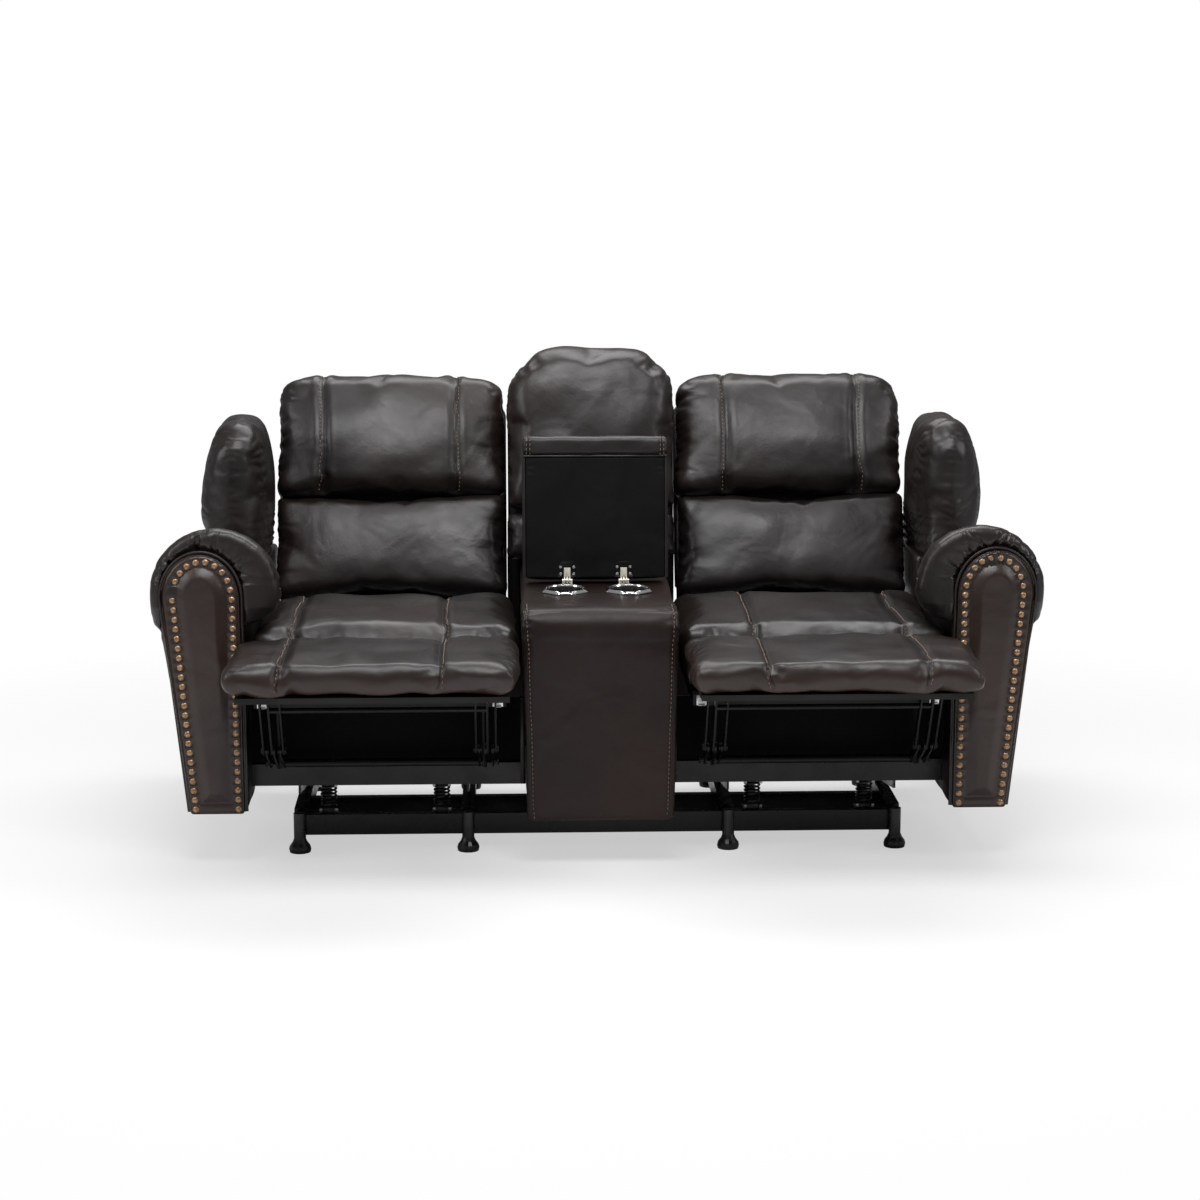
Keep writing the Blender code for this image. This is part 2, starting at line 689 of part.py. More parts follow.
def arm_section(depth, sign, inset=0.0):
    """The arm's outline at one depth, from the inner foot up over the roll and down the outer wall."""
    share = min(1.0, max(0.0, depth / ARM_SLOPE_LENGTH))
    share = share * share * (3 - 2 * share)
    inner = ARM_ROLL_INNER_X + (ARM_REAR_INNER_X - ARM_ROLL_INNER_X) * share + inset
    outer = ARM_OUTER_X - ARM_NARROWING * share - inset
    top = ARM_TOP_Z - ARM_DROP * share - inset
    roll_z = ARM_ROLL_Z - ARM_ROLL_DROP * share
    tuck_z = ARM_TUCK_Z + inset * 0.3
    wall_z = ARM_WALL_TOP_Z - ARM_DROP * share
    wall_x = ARM_INNER_X + inset * 0.6
    outer_wall_x = outer - ARM_WALL_INSET
    middle = (inner + outer) / 2
    quarter = SECTION_STEPS
    points = [(wall_x, FLOOR_CLEARANCE + inset * 0.5)]
    points += arc((wall_x, roll_z), (wall_x - inner, roll_z - tuck_z), 270, 180, quarter // 2)
    points += arc((middle, roll_z), (middle - inner, top - roll_z), 180, 90, quarter)[1:]
    points += arc((middle, roll_z), (outer - middle, top - roll_z), 90, 0, quarter)[1:]
    points += arc((outer_wall_x, roll_z), (outer - outer_wall_x, roll_z - wall_z), 0, -90, quarter // 2)[1:]
    points += [(ARM_WALL_FOOT_X - inset * 0.6, FLOOR_CLEARANCE + inset * 0.5)]
    return [(sign * x, behind(depth), z) for x, z in points]


def arm(name, sign, frame_axis):
    edge = ARM_EDGE
    stations = [(0.0, edge * 0.9), (edge * 0.3, edge * 0.3), (edge, 0.0)]
    stations += [(ARM_SLOPE_LENGTH * share, 0.0) for share in ARM_SLOPE_STATIONS]
    stations += [(ARM_LENGTH * ARM_REAR_STATION, 0.0), (ARM_LENGTH - edge, 0.0)]
    stations += [(ARM_LENGTH - edge * 0.3, edge * 0.3), (ARM_LENGTH, edge * 0.9)]
    piece = loft(name, [arm_section(depth, sign, inset) for depth, inset in stations], LEATHER)
    return hold(piece, frame_axis)


def arm_panel(name, sign, frame_axis):
    """The padded board on the front of the arm, under its round top."""
    panel_outer_x = ARM_OUTER_X - ARM_WALL_INSET
    middle = (PANEL_INNER_X + panel_outer_x) / 2
    half = (panel_outer_x - PANEL_INNER_X) / 2
    outline = [(PANEL_INNER_X, FLOOR_CLEARANCE)]
    outline += arc((middle, ARM_ROLL_Z), (half, PANEL_TOP_Z - ARM_ROLL_Z), 180, 0, 2 * SECTION_STEPS)
    outline += [(ARM_WALL_FOOT_X, FLOOR_CLEARANCE)]

    def ring(depth, inset):
        low = FLOOR_CLEARANCE + inset
        centre_x, centre_z = middle, (low + PANEL_TOP_Z) / 2
        points = []
        for x, z in outline:
            step_x = math.copysign(inset, centre_x - x)
            step_z = math.copysign(inset, centre_z - z)
            points.append((sign * (x + step_x), behind(depth), z + step_z))
        return points

    rings = [ring(-GAP, 0.0), ring(-PANEL_THICKNESS + PANEL_EDGE, 0.0)]
    rings += [ring(-PANEL_THICKNESS, PANEL_EDGE)]
    return hold(loft(name, rings, PANEL_LEATHER), frame_axis)


def wing(name, sign, frame_axis):
    foot_z = ARM_TOP_Z - ARM_DROP + 2 * GAP
    size = (WING_LENGTH, WING_TOP_Z - foot_z + WING_FOOT, WING_THICKNESS)
    centre = (
        sign * (WING_INNER_X + WING_THICKNESS / 2),
        behind(WING_FRONT + WING_LENGTH / 2),
        (WING_TOP_Z + foot_z - WING_FOOT) / 2,
    )
    piece = pillow(name, size, centre, ON_EDGE, LEATHER, crown=1.1, base=1.1, pull=0.03, corner=0.2)
    for vert in piece.data.vertices:
        vert.co.z = max(vert.co.z, WING_FOOT - size[1] / 2)
        rise = vert.co.z / size[1] + 0.5
        outward = vert.co.x * sign / size[2] + 0.5
        vert.co.x -= sign * WING_TAPER * rise * rise * outward
    return hold(piece, frame_axis)


def rear_panel(frame_axis):
    reach = ARM_INNER_X - GAP
    piece = box(
        "rear_frame_panel",
        (-reach, behind(REAR_PANEL_DEPTH), REAR_PANEL_BOTTOM_Z),
        (reach, behind(REAR_PANEL_DEPTH + REAR_PANEL_THICKNESS), REAR_PANEL_TOP_Z),
        LEATHER,
        bevel=REAR_PANEL_EDGE,
    )
    return hold(piece, frame_axis)


# Console


def console_box(frame_axis):
    """A padded box with a round nose, narrower at its foot, with wells for the cup holders."""
    front, rear = behind(CONSOLE_FRONT), behind(REAR_PANEL_DEPTH - GAP)
    nose = (CONSOLE_NOSE_LENGTH, CONSOLE_NOSE_HEIGHT)
    outline = [(front, CONSOLE_BOTTOM_Z)]
    outline += arc((front + nose[0], DECK_Z - nose[1]), nose, 180, 90, 6)
    outline += [(rear, DECK_Z), (rear, CONSOLE_BOTTOM_Z)]
    piece = as_mesh(plate("console_box", outline, 0.0, CONSOLE_WIDTH, LEATHER))
    narrowing = (CONSOLE_WIDTH - CONSOLE_FOOT_WIDTH) / CONSOLE_WIDTH
    for vert in piece.data.vertices:
        height = (vert.co.y - CONSOLE_BOTTOM_Z) / (DECK_Z - CONSOLE_BOTTOM_Z)
        vert.co.z *= 1 - narrowing * (1 - height)
    well_radius = CUP_RADIUS + 2 * GAP
    for sign in SIDES.values():
        well = turned(
            "cup_well",
            [
                (0.0, DECK_Z + CUP_RIM_HEIGHT),
                (well_radius, DECK_Z + CUP_RIM_HEIGHT),
                (well_radius, DECK_Z - CUP_DEPTH - 2 * GAP),
                (0.0, DECK_Z - CUP_DEPTH - 2 * GAP),
            ],
            (sign * CUP_SPACING / 2, behind(CUP_DEPTH_PLACE), 0.0),
            LEATHER,
        )
        combine(piece, well, "DIFFERENCE")
    for sign in SIDES.values():
        add_hinge_seat(piece, sign * HINGE_X)
    return hold(piece, frame_axis)


def add_hinge_seat(piece, x):
    """Two lugs on the deck and the pin that the lid hinge turns on."""
    axis = (behind(LID_AXIS_DEPTH), LID_AXIS_Z)
    radius = HINGE_LUG_RADIUS
    inner = HINGE_ARM_WIDTH / 2 + GAP
    for sign in (-1, 1):
        lug_x = x + sign * (inner + HINGE_LUG_THICKNESS / 2)
        root_z = DECK_Z - HINGE_LUG_ROOT
        outline = [(axis[0] + radius, root_z)] + arc(axis, (radius, radius), 0, 180, 8)
        outline += [(axis[0] - radius, root_z)]
        combine(piece, as_mesh(plate("hinge_lug", outline, lug_x, HINGE_LUG_THICKNESS, NICKEL)), "UNION")
    reach = inner + HINGE_LUG_THICKNESS * 0.75
    pin = rod("hinge_pin", (x - reach, *axis), (x + reach, *axis), HINGE_PIN_RADIUS, NICKEL, steps=10)
    combine(piece, pin, "UNION")


def cup_holder(name, sign, frame_axis):
    """A round cup under an eight-sided rim."""
    steps = 16
    seat_z = DECK_Z + GAP
    profile = [
        (CUP_RADIUS * 0.94, DECK_Z - CUP_DEPTH, False),
        (CUP_RADIUS, DECK_Z - CUP_DEPTH + CUP_FLOOR_EDGE, False),
        (CUP_RADIUS, seat_z, False),
        (CUP_RIM_RADIUS, seat_z, True),
        (CUP_RIM_RADIUS, seat_z + CUP_RIM_HEIGHT * 0.35, True),
        (CUP_RIM_RADIUS * 0.90, seat_z + CUP_RIM_HEIGHT, True),
        (CUP_RADIUS + CUP_WALL, seat_z + CUP_RIM_HEIGHT, False),
        (CUP_RADIUS - CUP_WALL, seat_z + CUP_RIM_HEIGHT * 0.4, False),
        (CUP_RADIUS - CUP_WALL, DECK_Z - CUP_DEPTH + CUP_FLOOR_EDGE + CUP_WALL, False),
        (CUP_RADIUS * 0.86, DECK_Z - CUP_DEPTH + CUP_WALL, False),
    ]
    centre = (sign * CUP_SPACING / 2, behind(CUP_DEPTH_PLACE))
    rings = []
    for radius, height, faceted in profile:
        ring = []
        for i in range(steps):
            angle = 2 * math.pi * i / steps
            reach = radius * math.cos(math.pi / 8) if faceted and i % 2 == 0 else radius
            ring.append((centre[0] + reach * math.cos(angle), centre[1] + reach * math.sin(angle), height))
        rings.append(ring)
    return hold(loft(name, rings, CHROME), frame_axis)


def console_back(frame_axis):
    location = (0.0, behind(REAR_PANEL_DEPTH - CONSOLE_BACK_FROM_REAR), DECK_Z + GAP)
    tilt = axis_empty("console_back_foot", location, CONSOLE_BACK_TILT, frame_axis)
    half = CONSOLE_BACK_WIDTH / 2
    rise = CONSOLE_BACK_BOARD * math.sin(CONSOLE_BACK_TILT)
    box(
        "console_back_board",
        (-half + CONSOLE_BOARD_MARGIN, 0.0, rise),
        (half - CONSOLE_BOARD_MARGIN, CONSOLE_BACK_BOARD, CONSOLE_BACK_LENGTH - BOARD_DROP),
        LEATHER,
        tilt,
        bevel=CONSOLE_BOARD_EDGE,
    )
    upper_length = CONSOLE_BACK_LENGTH - CONSOLE_BACK_SPLIT
    pillow(
        "console_back_upper_pillow",
        (CONSOLE_BACK_WIDTH, upper_length, CONSOLE_PILLOW_THICKNESS),
        (0.0, -CONSOLE_PILLOW_THICKNESS / 2 - GAP, CONSOLE_BACK_SPLIT + upper_length / 2),
        ACROSS,
        LEATHER,
        tilt,
        base=0.0,
        corner=0.24,
    )
    lower_length = CONSOLE_BACK_SPLIT - SOFT_GAP
    pillow(
        "console_back_lower_pillow",
        (CONSOLE_BACK_WIDTH - 2 * CONSOLE_LOWER_INSET, lower_length - rise, CONSOLE_LOWER_THICKNESS),
        (0.0, -CONSOLE_LOWER_THICKNESS / 2 - GAP, rise + (lower_length - rise) / 2),
        ACROSS,
        LEATHER,
        tilt,
        base=0.0,
    )


def console_lid(frame_axis):
    axis = axis_empty("lid_axis", (0.0, behind(LID_AXIS_DEPTH), LID_AXIS_Z), LID_LEAN, frame_axis)
    lid = pillow(
        "console_lid",
        (LID_WIDTH, LID_LENGTH, LID_THICKNESS),
        (0.0, LID_FACE + LID_THICKNESS / 2, LID_FOOT + LID_LENGTH / 2),
        (Vector((1, 0, 0)), Vector((0, 0, 1)), Vector((0, 1, 0))),
        LID_LINING,
        axis,
        base=0.0,
        pull=0.0,
    )
    for side, sign in SIDES.items():
        lid_hinge(f"{side}_lid_hinge", sign * HINGE_X, axis)
    return lid


def lid_hinge(name, x, axis):
    """A knuckle on the pin, an arm in front of the lid's lining, and the plate that is screwed to it."""
    thickness = HINGE_PLATE_THICKNESS
    radius = HINGE_KNUCKLE_RADIUS
    front = LID_FACE - GAP - thickness
    outline = arc((0.0, 0.0), (radius, radius), 30, -210, 16)
    outline += [(front - thickness, HINGE_ARM_TOP * 0.5), (front - thickness, HINGE_ARM_TOP)]
    outline += [(front + thickness * 0.5, HINGE_ARM_TOP)]
    hole_radius = HINGE_PIN_RADIUS + PIN_PLAY
    hole = arc((0.0, 0.0), (hole_radius, hole_radius), 0, 330, 11)
    hinge = as_mesh(plate(name, outline, x, HINGE_ARM_WIDTH, NICKEL, axis, [hole]))
    half = HINGE_PLATE_WIDTH / 2
    leaf = box(
        name + "_plate",
        (x - half, front, HINGE_PLATE_FOOT),
        (x + half, front + thickness, HINGE_PLATE_TOP),
        NICKEL,
        axis,
    )
    return combine(hinge, leaf, "UNION")


# Seat, back and footrest


def seat_middle():
    low = CONSOLE_WIDTH / 2 + SEAT_INNER_GAP
    high = ARM_INNER_X - SEAT_OUTER_GAP
    return low, high


def seat_cushion(name, sign, seat_axis):
    low, high = seat_middle()
    middle = (low + high) / 2
    seams = sorted(sign * (seam - middle) for seam in (SEAT_SEAM_INNER_X, SEAT_SEAM_OUTER_X))
    piece = pillow(
        name,
        (high - low, SEAT_LENGTH, SEAT_THICKNESS),
        (sign * middle, behind(SEAT_FRONT + SEAT_LENGTH / 2), SEAT_TOP_Z - SEAT_THICKNESS / 2),
        LYING,
        LEATHER,
        seams=seams,
        crown=0.35,
        base=0.0,
        pull=0.012,
    )
    return hold(piece, seat_axis)


def hanger_outline():
    """A steel hanger under the deck: up front the footrest hinge, below the torque tube."""
    deck_bottom = SEAT_TOP_Z - SEAT_THICKNESS - GAP - DECK_THICKNESS
    top = deck_bottom + DECK_THICKNESS * 0.6
    hinge = (behind(FOOTREST_AXIS_DEPTH), FOOTREST_AXIS_Z)
    tube = (behind(LINK_PIVOT_DEPTH), LINK_PIVOT_Z)
    rear = behind(DECK_FRONT + HANGER_LENGTH)
    radius = HANGER_EYE_RADIUS
    outline = arc(hinge, (radius, radius), 200, -20, 10)
    outline += [(behind(DECK_FRONT - HANGER_NOSE_TIP), deck_bottom + DECK_THICKNESS - HANGER_TOP_GAP)]
    outline += [(behind(DECK_FRONT + HANGER_NOSE), top), (rear, top), (rear, deck_bottom - HANGER_HEEL)]
    outline += arc(tube, (radius, radius), 10, -170, 10)
    outline += [(behind(DECK_FRONT + HANGER_NECK), deck_bottom - HANGER_NECK_DROP)]
    outline += [(behind(DECK_FRONT - HANGER_NOSE), deck_bottom)]
    return outline, hinge, tube


def seat_deck(name, sign, seat_axis):
    """The board under the cushion, with the hangers that carry the footrest linkage."""
    top = SEAT_TOP_Z - SEAT_THICKNESS - GAP
    middle = sign * MECHANISM_X
    deck = box(
        name,
        (middle - DECK_HALF_WIDTH, behind(DECK_FRONT), top - DECK_THICKNESS),
        (middle + DECK_HALF_WIDTH, behind(DECK_FRONT + DECK_LENGTH), top),
        BLACK_CLOTH,
    )
    outline, hinge, tube = hanger_outline()
    play = LINK_PIN_RADIUS + PIN_PLAY
    tube_play = TORQUE_TUBE_RADIUS + PIN_PLAY
    holes = [arc(hinge, (play, play), 0, 330, 11), arc(tube, (tube_play, tube_play), 0, 337.5, 15)]
    for offset in (-LINK_OUTSET, LINK_OUTSET):
        hanger = plate(name + "_hanger", outline, middle + offset, LINK_THICKNESS, BLACK_STEEL, None, holes)
        combine(deck, as_mesh(hanger), "UNION")
    return hold(deck, seat_axis)


def link_offset(layer):
    """Each layer of the linkage lies one link further out than the hanger."""
    return LINK_OUTSET + layer * (LINK_THICKNESS + 2 * GAP)


def back(side, sign, frame_axis):
    location = (0.0, behind(PIVOT_DEPTH), PIVOT_Z)
    axis = axis_empty(f"{side}_back_axis", location, BACK_TILT, frame_axis)
    middle = sign * (BACK_INNER_X + BACK_OUTER_X) / 2
    width = BACK_OUTER_X - BACK_INNER_X
    head_middle = sign * (BACK_INNER_X + HEAD_OUTER_X) / 2
    head_width = HEAD_OUTER_X - BACK_INNER_X
    board_half = head_width / 2 - BACK_BOARD_MARGIN
    board = box(
        f"{side}_back_board",
        (head_middle - board_half, -BACK_FACE, BACK_BOARD_FOOT),
        (head_middle + board_half, BACK_BOARD - BACK_FACE, BACK_LENGTH + HEAD_RISE - BOARD_DROP),
        LEATHER,
        axis,
    )
    for offset in (-1, 1):
        add_back_ear(board, sign * MECHANISM_X, offset, axis)
    round_edges(board, BACK_BOARD_EDGE, 1)
    pillow(
        f"{side}_lumbar_pillow",
        (width, LUMBAR_TOP - LUMBAR_FOOT, LUMBAR_THICKNESS),
        (middle, -BACK_FACE - LUMBAR_THICKNESS / 2 - GAP, (LUMBAR_TOP + LUMBAR_FOOT) / 2),
        ACROSS,
        LEATHER,
        axis,
        base=0.0,
    )
    head_foot = LUMBAR_TOP + SOFT_GAP / 2
    seam_places = (HEAD_SEAM_INNER_X, HEAD_SEAM_OUTER_X)
    pillow(
        f"{side}_head_pillow",
        (head_width, BACK_LENGTH + HEAD_RISE - head_foot, HEAD_PILLOW_THICKNESS),
        (
            head_middle,
            -BACK_FACE - HEAD_PILLOW_THICKNESS / 2 - GAP,
            (BACK_LENGTH + HEAD_RISE + head_foot) / 2,
        ),
        ACROSS,
        LEATHER,
        axis,
        seams=sorted(sign * seam - head_middle for seam in seam_places),
        base=0.0,
        pull=0.012,
        corner=0.13,
    )


def add_back_ear(board, middle, side, axis):
    """A steel ear that runs from the board down to the pivot, with the pin that sits in the side plate."""
    offset = MECHANISM_HALF + PLATE_THICKNESS / 2 + 2 * GAP + LINK_THICKNESS / 2
    radius = BACK_FACE - EAR_EYE_MARGIN
    inside = BACK_BOARD / 2 - BACK_FACE
    outline = arc((0.0, 0.0), (radius, radius), 180, 360, 8)
    outline += [(inside + EAR_REAR, EAR_FOOT), (inside + EAR_REAR, EAR_TOP)]
    outline += [(inside - EAR_FRONT, EAR_TOP), (inside - EAR_FRONT, EAR_FOOT)]
    x = middle + side * offset
    ear = as_mesh(plate("back_ear", outline, x, LINK_THICKNESS, BLACK_STEEL, axis))
    inner = side * (MECHANISM_HALF - PLATE_THICKNESS / 2 - EAR_PIN_REACH)
    outer = side * (offset + LINK_THICKNESS * 0.4)
    low, high = sorted((middle + inner, middle + outer))
    pin = rod("back_pin", (low, 0.0, 0.0), (high, 0.0, 0.0), BACK_PIN_RADIUS, BLACK_STEEL, axis, 16)
    combine(board, ear, "UNION")
    combine(board, pin, "UNION")


def footrest(side, sign, seat_axis):
    location = (0.0, behind(FOOTREST_AXIS_DEPTH), FOOTREST_AXIS_Z)
    axis = axis_empty(f"{side}_footrest_axis", location, 0.0, seat_axis)
    low = CONSOLE_WIDTH / 2 + FOOTREST_INNER_GAP
    middle = low + FOOTREST_WIDTH / 2
    seams = sorted(sign * (seam - middle) for seam in (SEAT_SEAM_INNER_X, SEAT_SEAM_OUTER_X))
    front = FOOTREST_REAR - FOOTREST_LENGTH
    pad = pillow(
        f"{side}_footrest_pad",
        (FOOTREST_WIDTH, FOOTREST_LENGTH, FOOTREST_THICKNESS),
        (sign * middle, behind((FOOTREST_REAR + front) / 2), FOOTREST_TOP_Z - FOOTREST_THICKNESS / 2),
        LYING,
        LEATHER,
        seams=seams,
        crown=0.5,
        base=0.0,
        pull=0.01,
    )
    hold(pad, axis)
    board_top = FOOTREST_TOP_Z - FOOTREST_THICKNESS - GAP
    board_half = link_offset(3) + LINK_THICKNESS / 2 + FOOTREST_BOARD_BESIDE
    board = box(
        f"{side}_footrest_board",
        (sign * MECHANISM_X - board_half, behind(front + FOOTREST_BOARD_MARGIN), board_top - FOOTREST_BOARD),
        (sign * MECHANISM_X + board_half, behind(FOOTREST_REAR - FOOTREST_BOARD_REAR), board_top),
        BLACK_CLOTH,
    )
    outline, hinge, pivot = bracket_outline(board_top)
    play = LINK_PIN_RADIUS + PIN_PLAY
    hole = arc(pivot, (play, play), 0, 330, 11)
    reach = link_offset(3)
    for offset in (-1, 1):
        x = sign * MECHANISM_X + offset * reach
        bracket = plate("footrest_bracket", outline, x, LINK_THICKNESS, BLACK_STEEL, None, [hole])
        combine(board, as_mesh(bracket), "UNION")
        inner = LINK_OUTSET - LINK_THICKNESS / 2
        ends = sorted((sign * MECHANISM_X + offset * inner, x + offset * LINK_THICKNESS * 0.4))
        pin = rod("footrest_pin", (ends[0], *hinge), (ends[1], *hinge), LINK_PIN_RADIUS, BLACK_STEEL)
        combine(board, pin, "UNION")
    hold(board, axis)
    return axis, pivot


def bracket_outline(board_top):
    """The steel bracket under the footrest board, from its hinge to the front link's pivot."""
    hinge = (behind(FOOTREST_AXIS_DEPTH), FOOTREST_AXIS_Z)
    pivot = (behind(BRACKET_PIVOT_DEPTH), BRACKET_PIVOT_Z)
    radius = BRACKET_EYE_RADIUS
    top = board_top - FOOTREST_BOARD * 0.4
    outline = arc(hinge, (radius, radius), 60, -90, 6)
    outline += arc(pivot, (radius, radius), -90, -200, 6)
    outline += [(behind(BRACKET_PIVOT_DEPTH - BRACKET_NOSE), top)]
    outline += [(behind(FOOTREST_REAR - BRACKET_HEEL), top)]
    return outline, hinge, pivot


def link_outline(start, end, half_width=LINK_HALF_WIDTH):
    """A flat bar with round ends between two pivots."""
    angle = math.degrees(math.atan2(end[1] - start[1], end[0] - start[0]))
    radii = (half_width, half_width)
    return arc(start, radii, angle + 270, angle + 90, 8) + arc(end, radii, angle + 90, angle - 90, 8)


def rear_links(side, sign, seat_axis):
    """The lower pair of links, fixed on the ends of the torque tube that turns in the hangers."""
    tube = (behind(LINK_PIVOT_DEPTH), LINK_PIVOT_Z)
    knee = (behind(LINK_KNEE_DEPTH), LINK_KNEE_Z)
    axis = axis_empty(f"{side}_rear_link_axis", (0.0, *tube), 0.0, seat_axis)
    middle = sign * MECHANISM_X
    reach = link_offset(1)
    end = reach + LINK_THICKNESS * 0.4
    name = f"{side}_rear_links"
    body = rod(name, (middle - end, *tube), (middle + end, *tube), TORQUE_TUBE_RADIUS, BLACK_STEEL, None, 16)
    for offset in (-reach, reach):
        outline = link_outline(tube, knee, REAR_LINK_HALF_WIDTH)
        bar = plate("rear_link", outline, middle + offset, LINK_THICKNESS, BLACK_STEEL)
        combine(body, as_mesh(bar), "UNION")
    return hold(body, axis)


def front_links(side, sign, footrest_axis, pivot):
    """The upper pair of links, joined by a cross bar near the footrest, with a pin in each bracket."""
    knee = (behind(LINK_KNEE_DEPTH), LINK_KNEE_Z)
    axis = axis_empty(f"{side}_front_link_axis", (0.0, *pivot), 0.0, footrest_axis)
    middle = sign * MECHANISM_X
    reach = link_offset(2)
    bar_place = tuple(p + 0.30 * (k - p) for p, k in zip(pivot, knee))
    end = reach - LINK_THICKNESS * 0.1
    body = rod(
        f"{side}_front_links",
        (middle - end, *bar_place),
        (middle + end, *bar_place),
        CROSS_BAR_RADIUS,
        BLACK_STEEL,
    )
    for sense in (-1, 1):
        x = middle + sense * reach
        bar = plate("front_link", link_outline(pivot, knee), x, LINK_THICKNESS, BLACK_STEEL)
        combine(body, as_mesh(bar), "UNION")
        outer = x + sense * (LINK_THICKNESS * 1.5 + 4 * GAP)
        low, high = sorted((x - sense * LINK_THICKNESS * 0.3, outer))
        pin = rod("front_link_pin", (low, *pivot), (high, *pivot), LINK_PIN_RADIUS, BLACK_STEEL)
        combine(body, pin, "UNION")
    return hold(body, axis)


def release_lever(side, sign, frame_axis):
    """A flat handle on a boss, standing square to the sloping outer side of the arm."""
    share = min(1.0, LEVER_DEPTH / ARM_SLOPE_LENGTH)
    share = share * share * (3 - 2 * share)
    top_x = ARM_OUTER_X - ARM_NARROWING * share - ARM_WALL_INSET
    top_z = ARM_WALL_TOP_Z - ARM_DROP * share
    slope = (top_x - ARM_WALL_FOOT_X) / (top_z - FLOOR_CLEARANCE)
    wall_x = ARM_WALL_FOOT_X + slope * (LEVER_Z - FLOOR_CLEARANCE)
    axis = axis_empty(f"{side}_lever_axis", (sign * wall_x, behind(LEVER_DEPTH), LEVER_Z), 0.0, frame_axis)
    axis.rotation_euler = (0.0, math.atan(slope) * sign, 0.0)
    thickness = LEVER_BOSS_LENGTH + LEVER_THICKNESS
    boss_outline = arc((0.0, 0.0), (LEVER_BOSS_RADIUS, LEVER_BOSS_RADIUS), 0, 345, 23)
    boss_x = sign * (LEVER_STAND + thickness / 2)
    boss = plate(f"{side}_release_lever", boss_outline, boss_x, thickness, BLACK_PLASTIC, axis)
    half = LEVER_WIDTH / 2
    outline = arc((half - LEVER_LENGTH, 0.0), (half, half), 90, 270, 8) + [(0.0, -half), (0.0, half)]
    x = sign * (LEVER_STAND + LEVER_BOSS_LENGTH + LEVER_THICKNESS / 2 - LEVER_ROOT)
    handle = as_mesh(plate("lever_handle", outline, x, LEVER_THICKNESS, BLACK_PLASTIC, axis))
    return combine(as_mesh(boss), handle, "UNION")


def build_frame():
    frame_axis = axis_empty("rock_axis", (0.0, behind(ROCK_AXIS_DEPTH), BASE_RAIL_TOP_Z))
    for side, sign in SIDES.items():
        for place, offset in (("outer", MECHANISM_HALF), ("inner", -MECHANISM_HALF)):
            side_plate(f"{side}_{place}_side_plate", sign * (MECHANISM_X + offset), frame_axis)
        front_board(f"{side}_front_board", sign, frame_axis)
        arm(f"{side}_arm", sign, frame_axis)
        arm_panel(f"{side}_arm_panel", sign, frame_axis)
        wing(f"{side}_wing", sign, frame_axis)
        cup_holder(f"{side}_cup_holder", sign, frame_axis)
        release_lever(side, sign, frame_axis)
    rear_panel(frame_axis)
    console_box(frame_axis)
    console_back(frame_axis)
    console_lid(frame_axis)
    return frame_axis


def build_seats(frame_axis):
    for side, sign in SIDES.items():
        seat_axis = axis_empty(f"{side}_seat_glide", (0.0, behind(0.0), SEAT_TOP_Z), 0.0, frame_axis)
        seat_cushion(f"{side}_seat_cushion", sign, seat_axis)
        seat_deck(f"{side}_seat_deck", sign, seat_axis)
        back(side, sign, frame_axis)
        footrest_axis, pivot = footrest(side, sign, seat_axis)
        rear_links(side, sign, seat_axis)
        front_links(side, sign, footrest_axis, pivot)


build_base()
build_seats(build_frame())
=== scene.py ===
"""Looks of the rocker recliner loveseat with its centre console.

Metres, +Z up, front towards -Y, left and right as seen from the front. Places come from the frame
and from the sizes named below. Depths are distances behind the front of the arms.
"""

import json
import math
import random
from contextlib import contextmanager

import bpy
import numpy as np
from mathutils import Matrix, Vector
from mathutils.bvhtree import BVHTree
from mathutils.kdtree import KDTree


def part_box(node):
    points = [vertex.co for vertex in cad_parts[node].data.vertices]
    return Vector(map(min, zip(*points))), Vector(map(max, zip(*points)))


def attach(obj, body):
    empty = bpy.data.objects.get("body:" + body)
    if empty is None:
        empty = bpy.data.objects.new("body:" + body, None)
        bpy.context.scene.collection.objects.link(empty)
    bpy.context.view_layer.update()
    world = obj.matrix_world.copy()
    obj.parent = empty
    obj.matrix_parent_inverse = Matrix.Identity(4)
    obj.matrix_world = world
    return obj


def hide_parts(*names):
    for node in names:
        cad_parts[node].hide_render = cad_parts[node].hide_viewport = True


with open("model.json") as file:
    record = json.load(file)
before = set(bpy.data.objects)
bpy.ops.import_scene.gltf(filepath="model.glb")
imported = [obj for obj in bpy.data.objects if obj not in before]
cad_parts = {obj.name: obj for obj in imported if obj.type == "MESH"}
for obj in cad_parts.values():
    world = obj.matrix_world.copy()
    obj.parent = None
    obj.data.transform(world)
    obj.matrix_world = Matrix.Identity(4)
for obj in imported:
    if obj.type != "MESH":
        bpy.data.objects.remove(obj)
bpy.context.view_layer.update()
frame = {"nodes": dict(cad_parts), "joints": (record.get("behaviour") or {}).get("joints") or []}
JOINTS = {joint["name"]: joint for joint in frame["joints"]}
SIDES = {"left": -1.0, "right": 1.0}
ARM_FRONT_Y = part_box("left_arm")[0].y

# Tilts of the upright parts, as photographed
BACK_TILT = math.radians(25.0)
CONSOLE_BACK_TILT = math.radians(12.0)
LID_LEAN = math.radians(6.0)

# Covers
COVER_GRID = 0.007  # spacing of a cover's mesh before it is divided
COVER_INSET = 0.006  # a cover starts this far inside its solid and swells back
COVER_FRAMES = 14
COVER_PRESSURE = 4.0
COVER_SPARE = 0.05  # of leather, which the swelling puts into wrinkles
COVER_REACH = 0.022  # furthest that a point of a cover moves while it swells
COVER_PROUD = 0.0015  # furthest that a cover stands outside its solid
LINE_STEP = 0.004  # between the points of a line laid on a cover
RIM_LEVELS = 24
RIPPLE_WAVES = 14

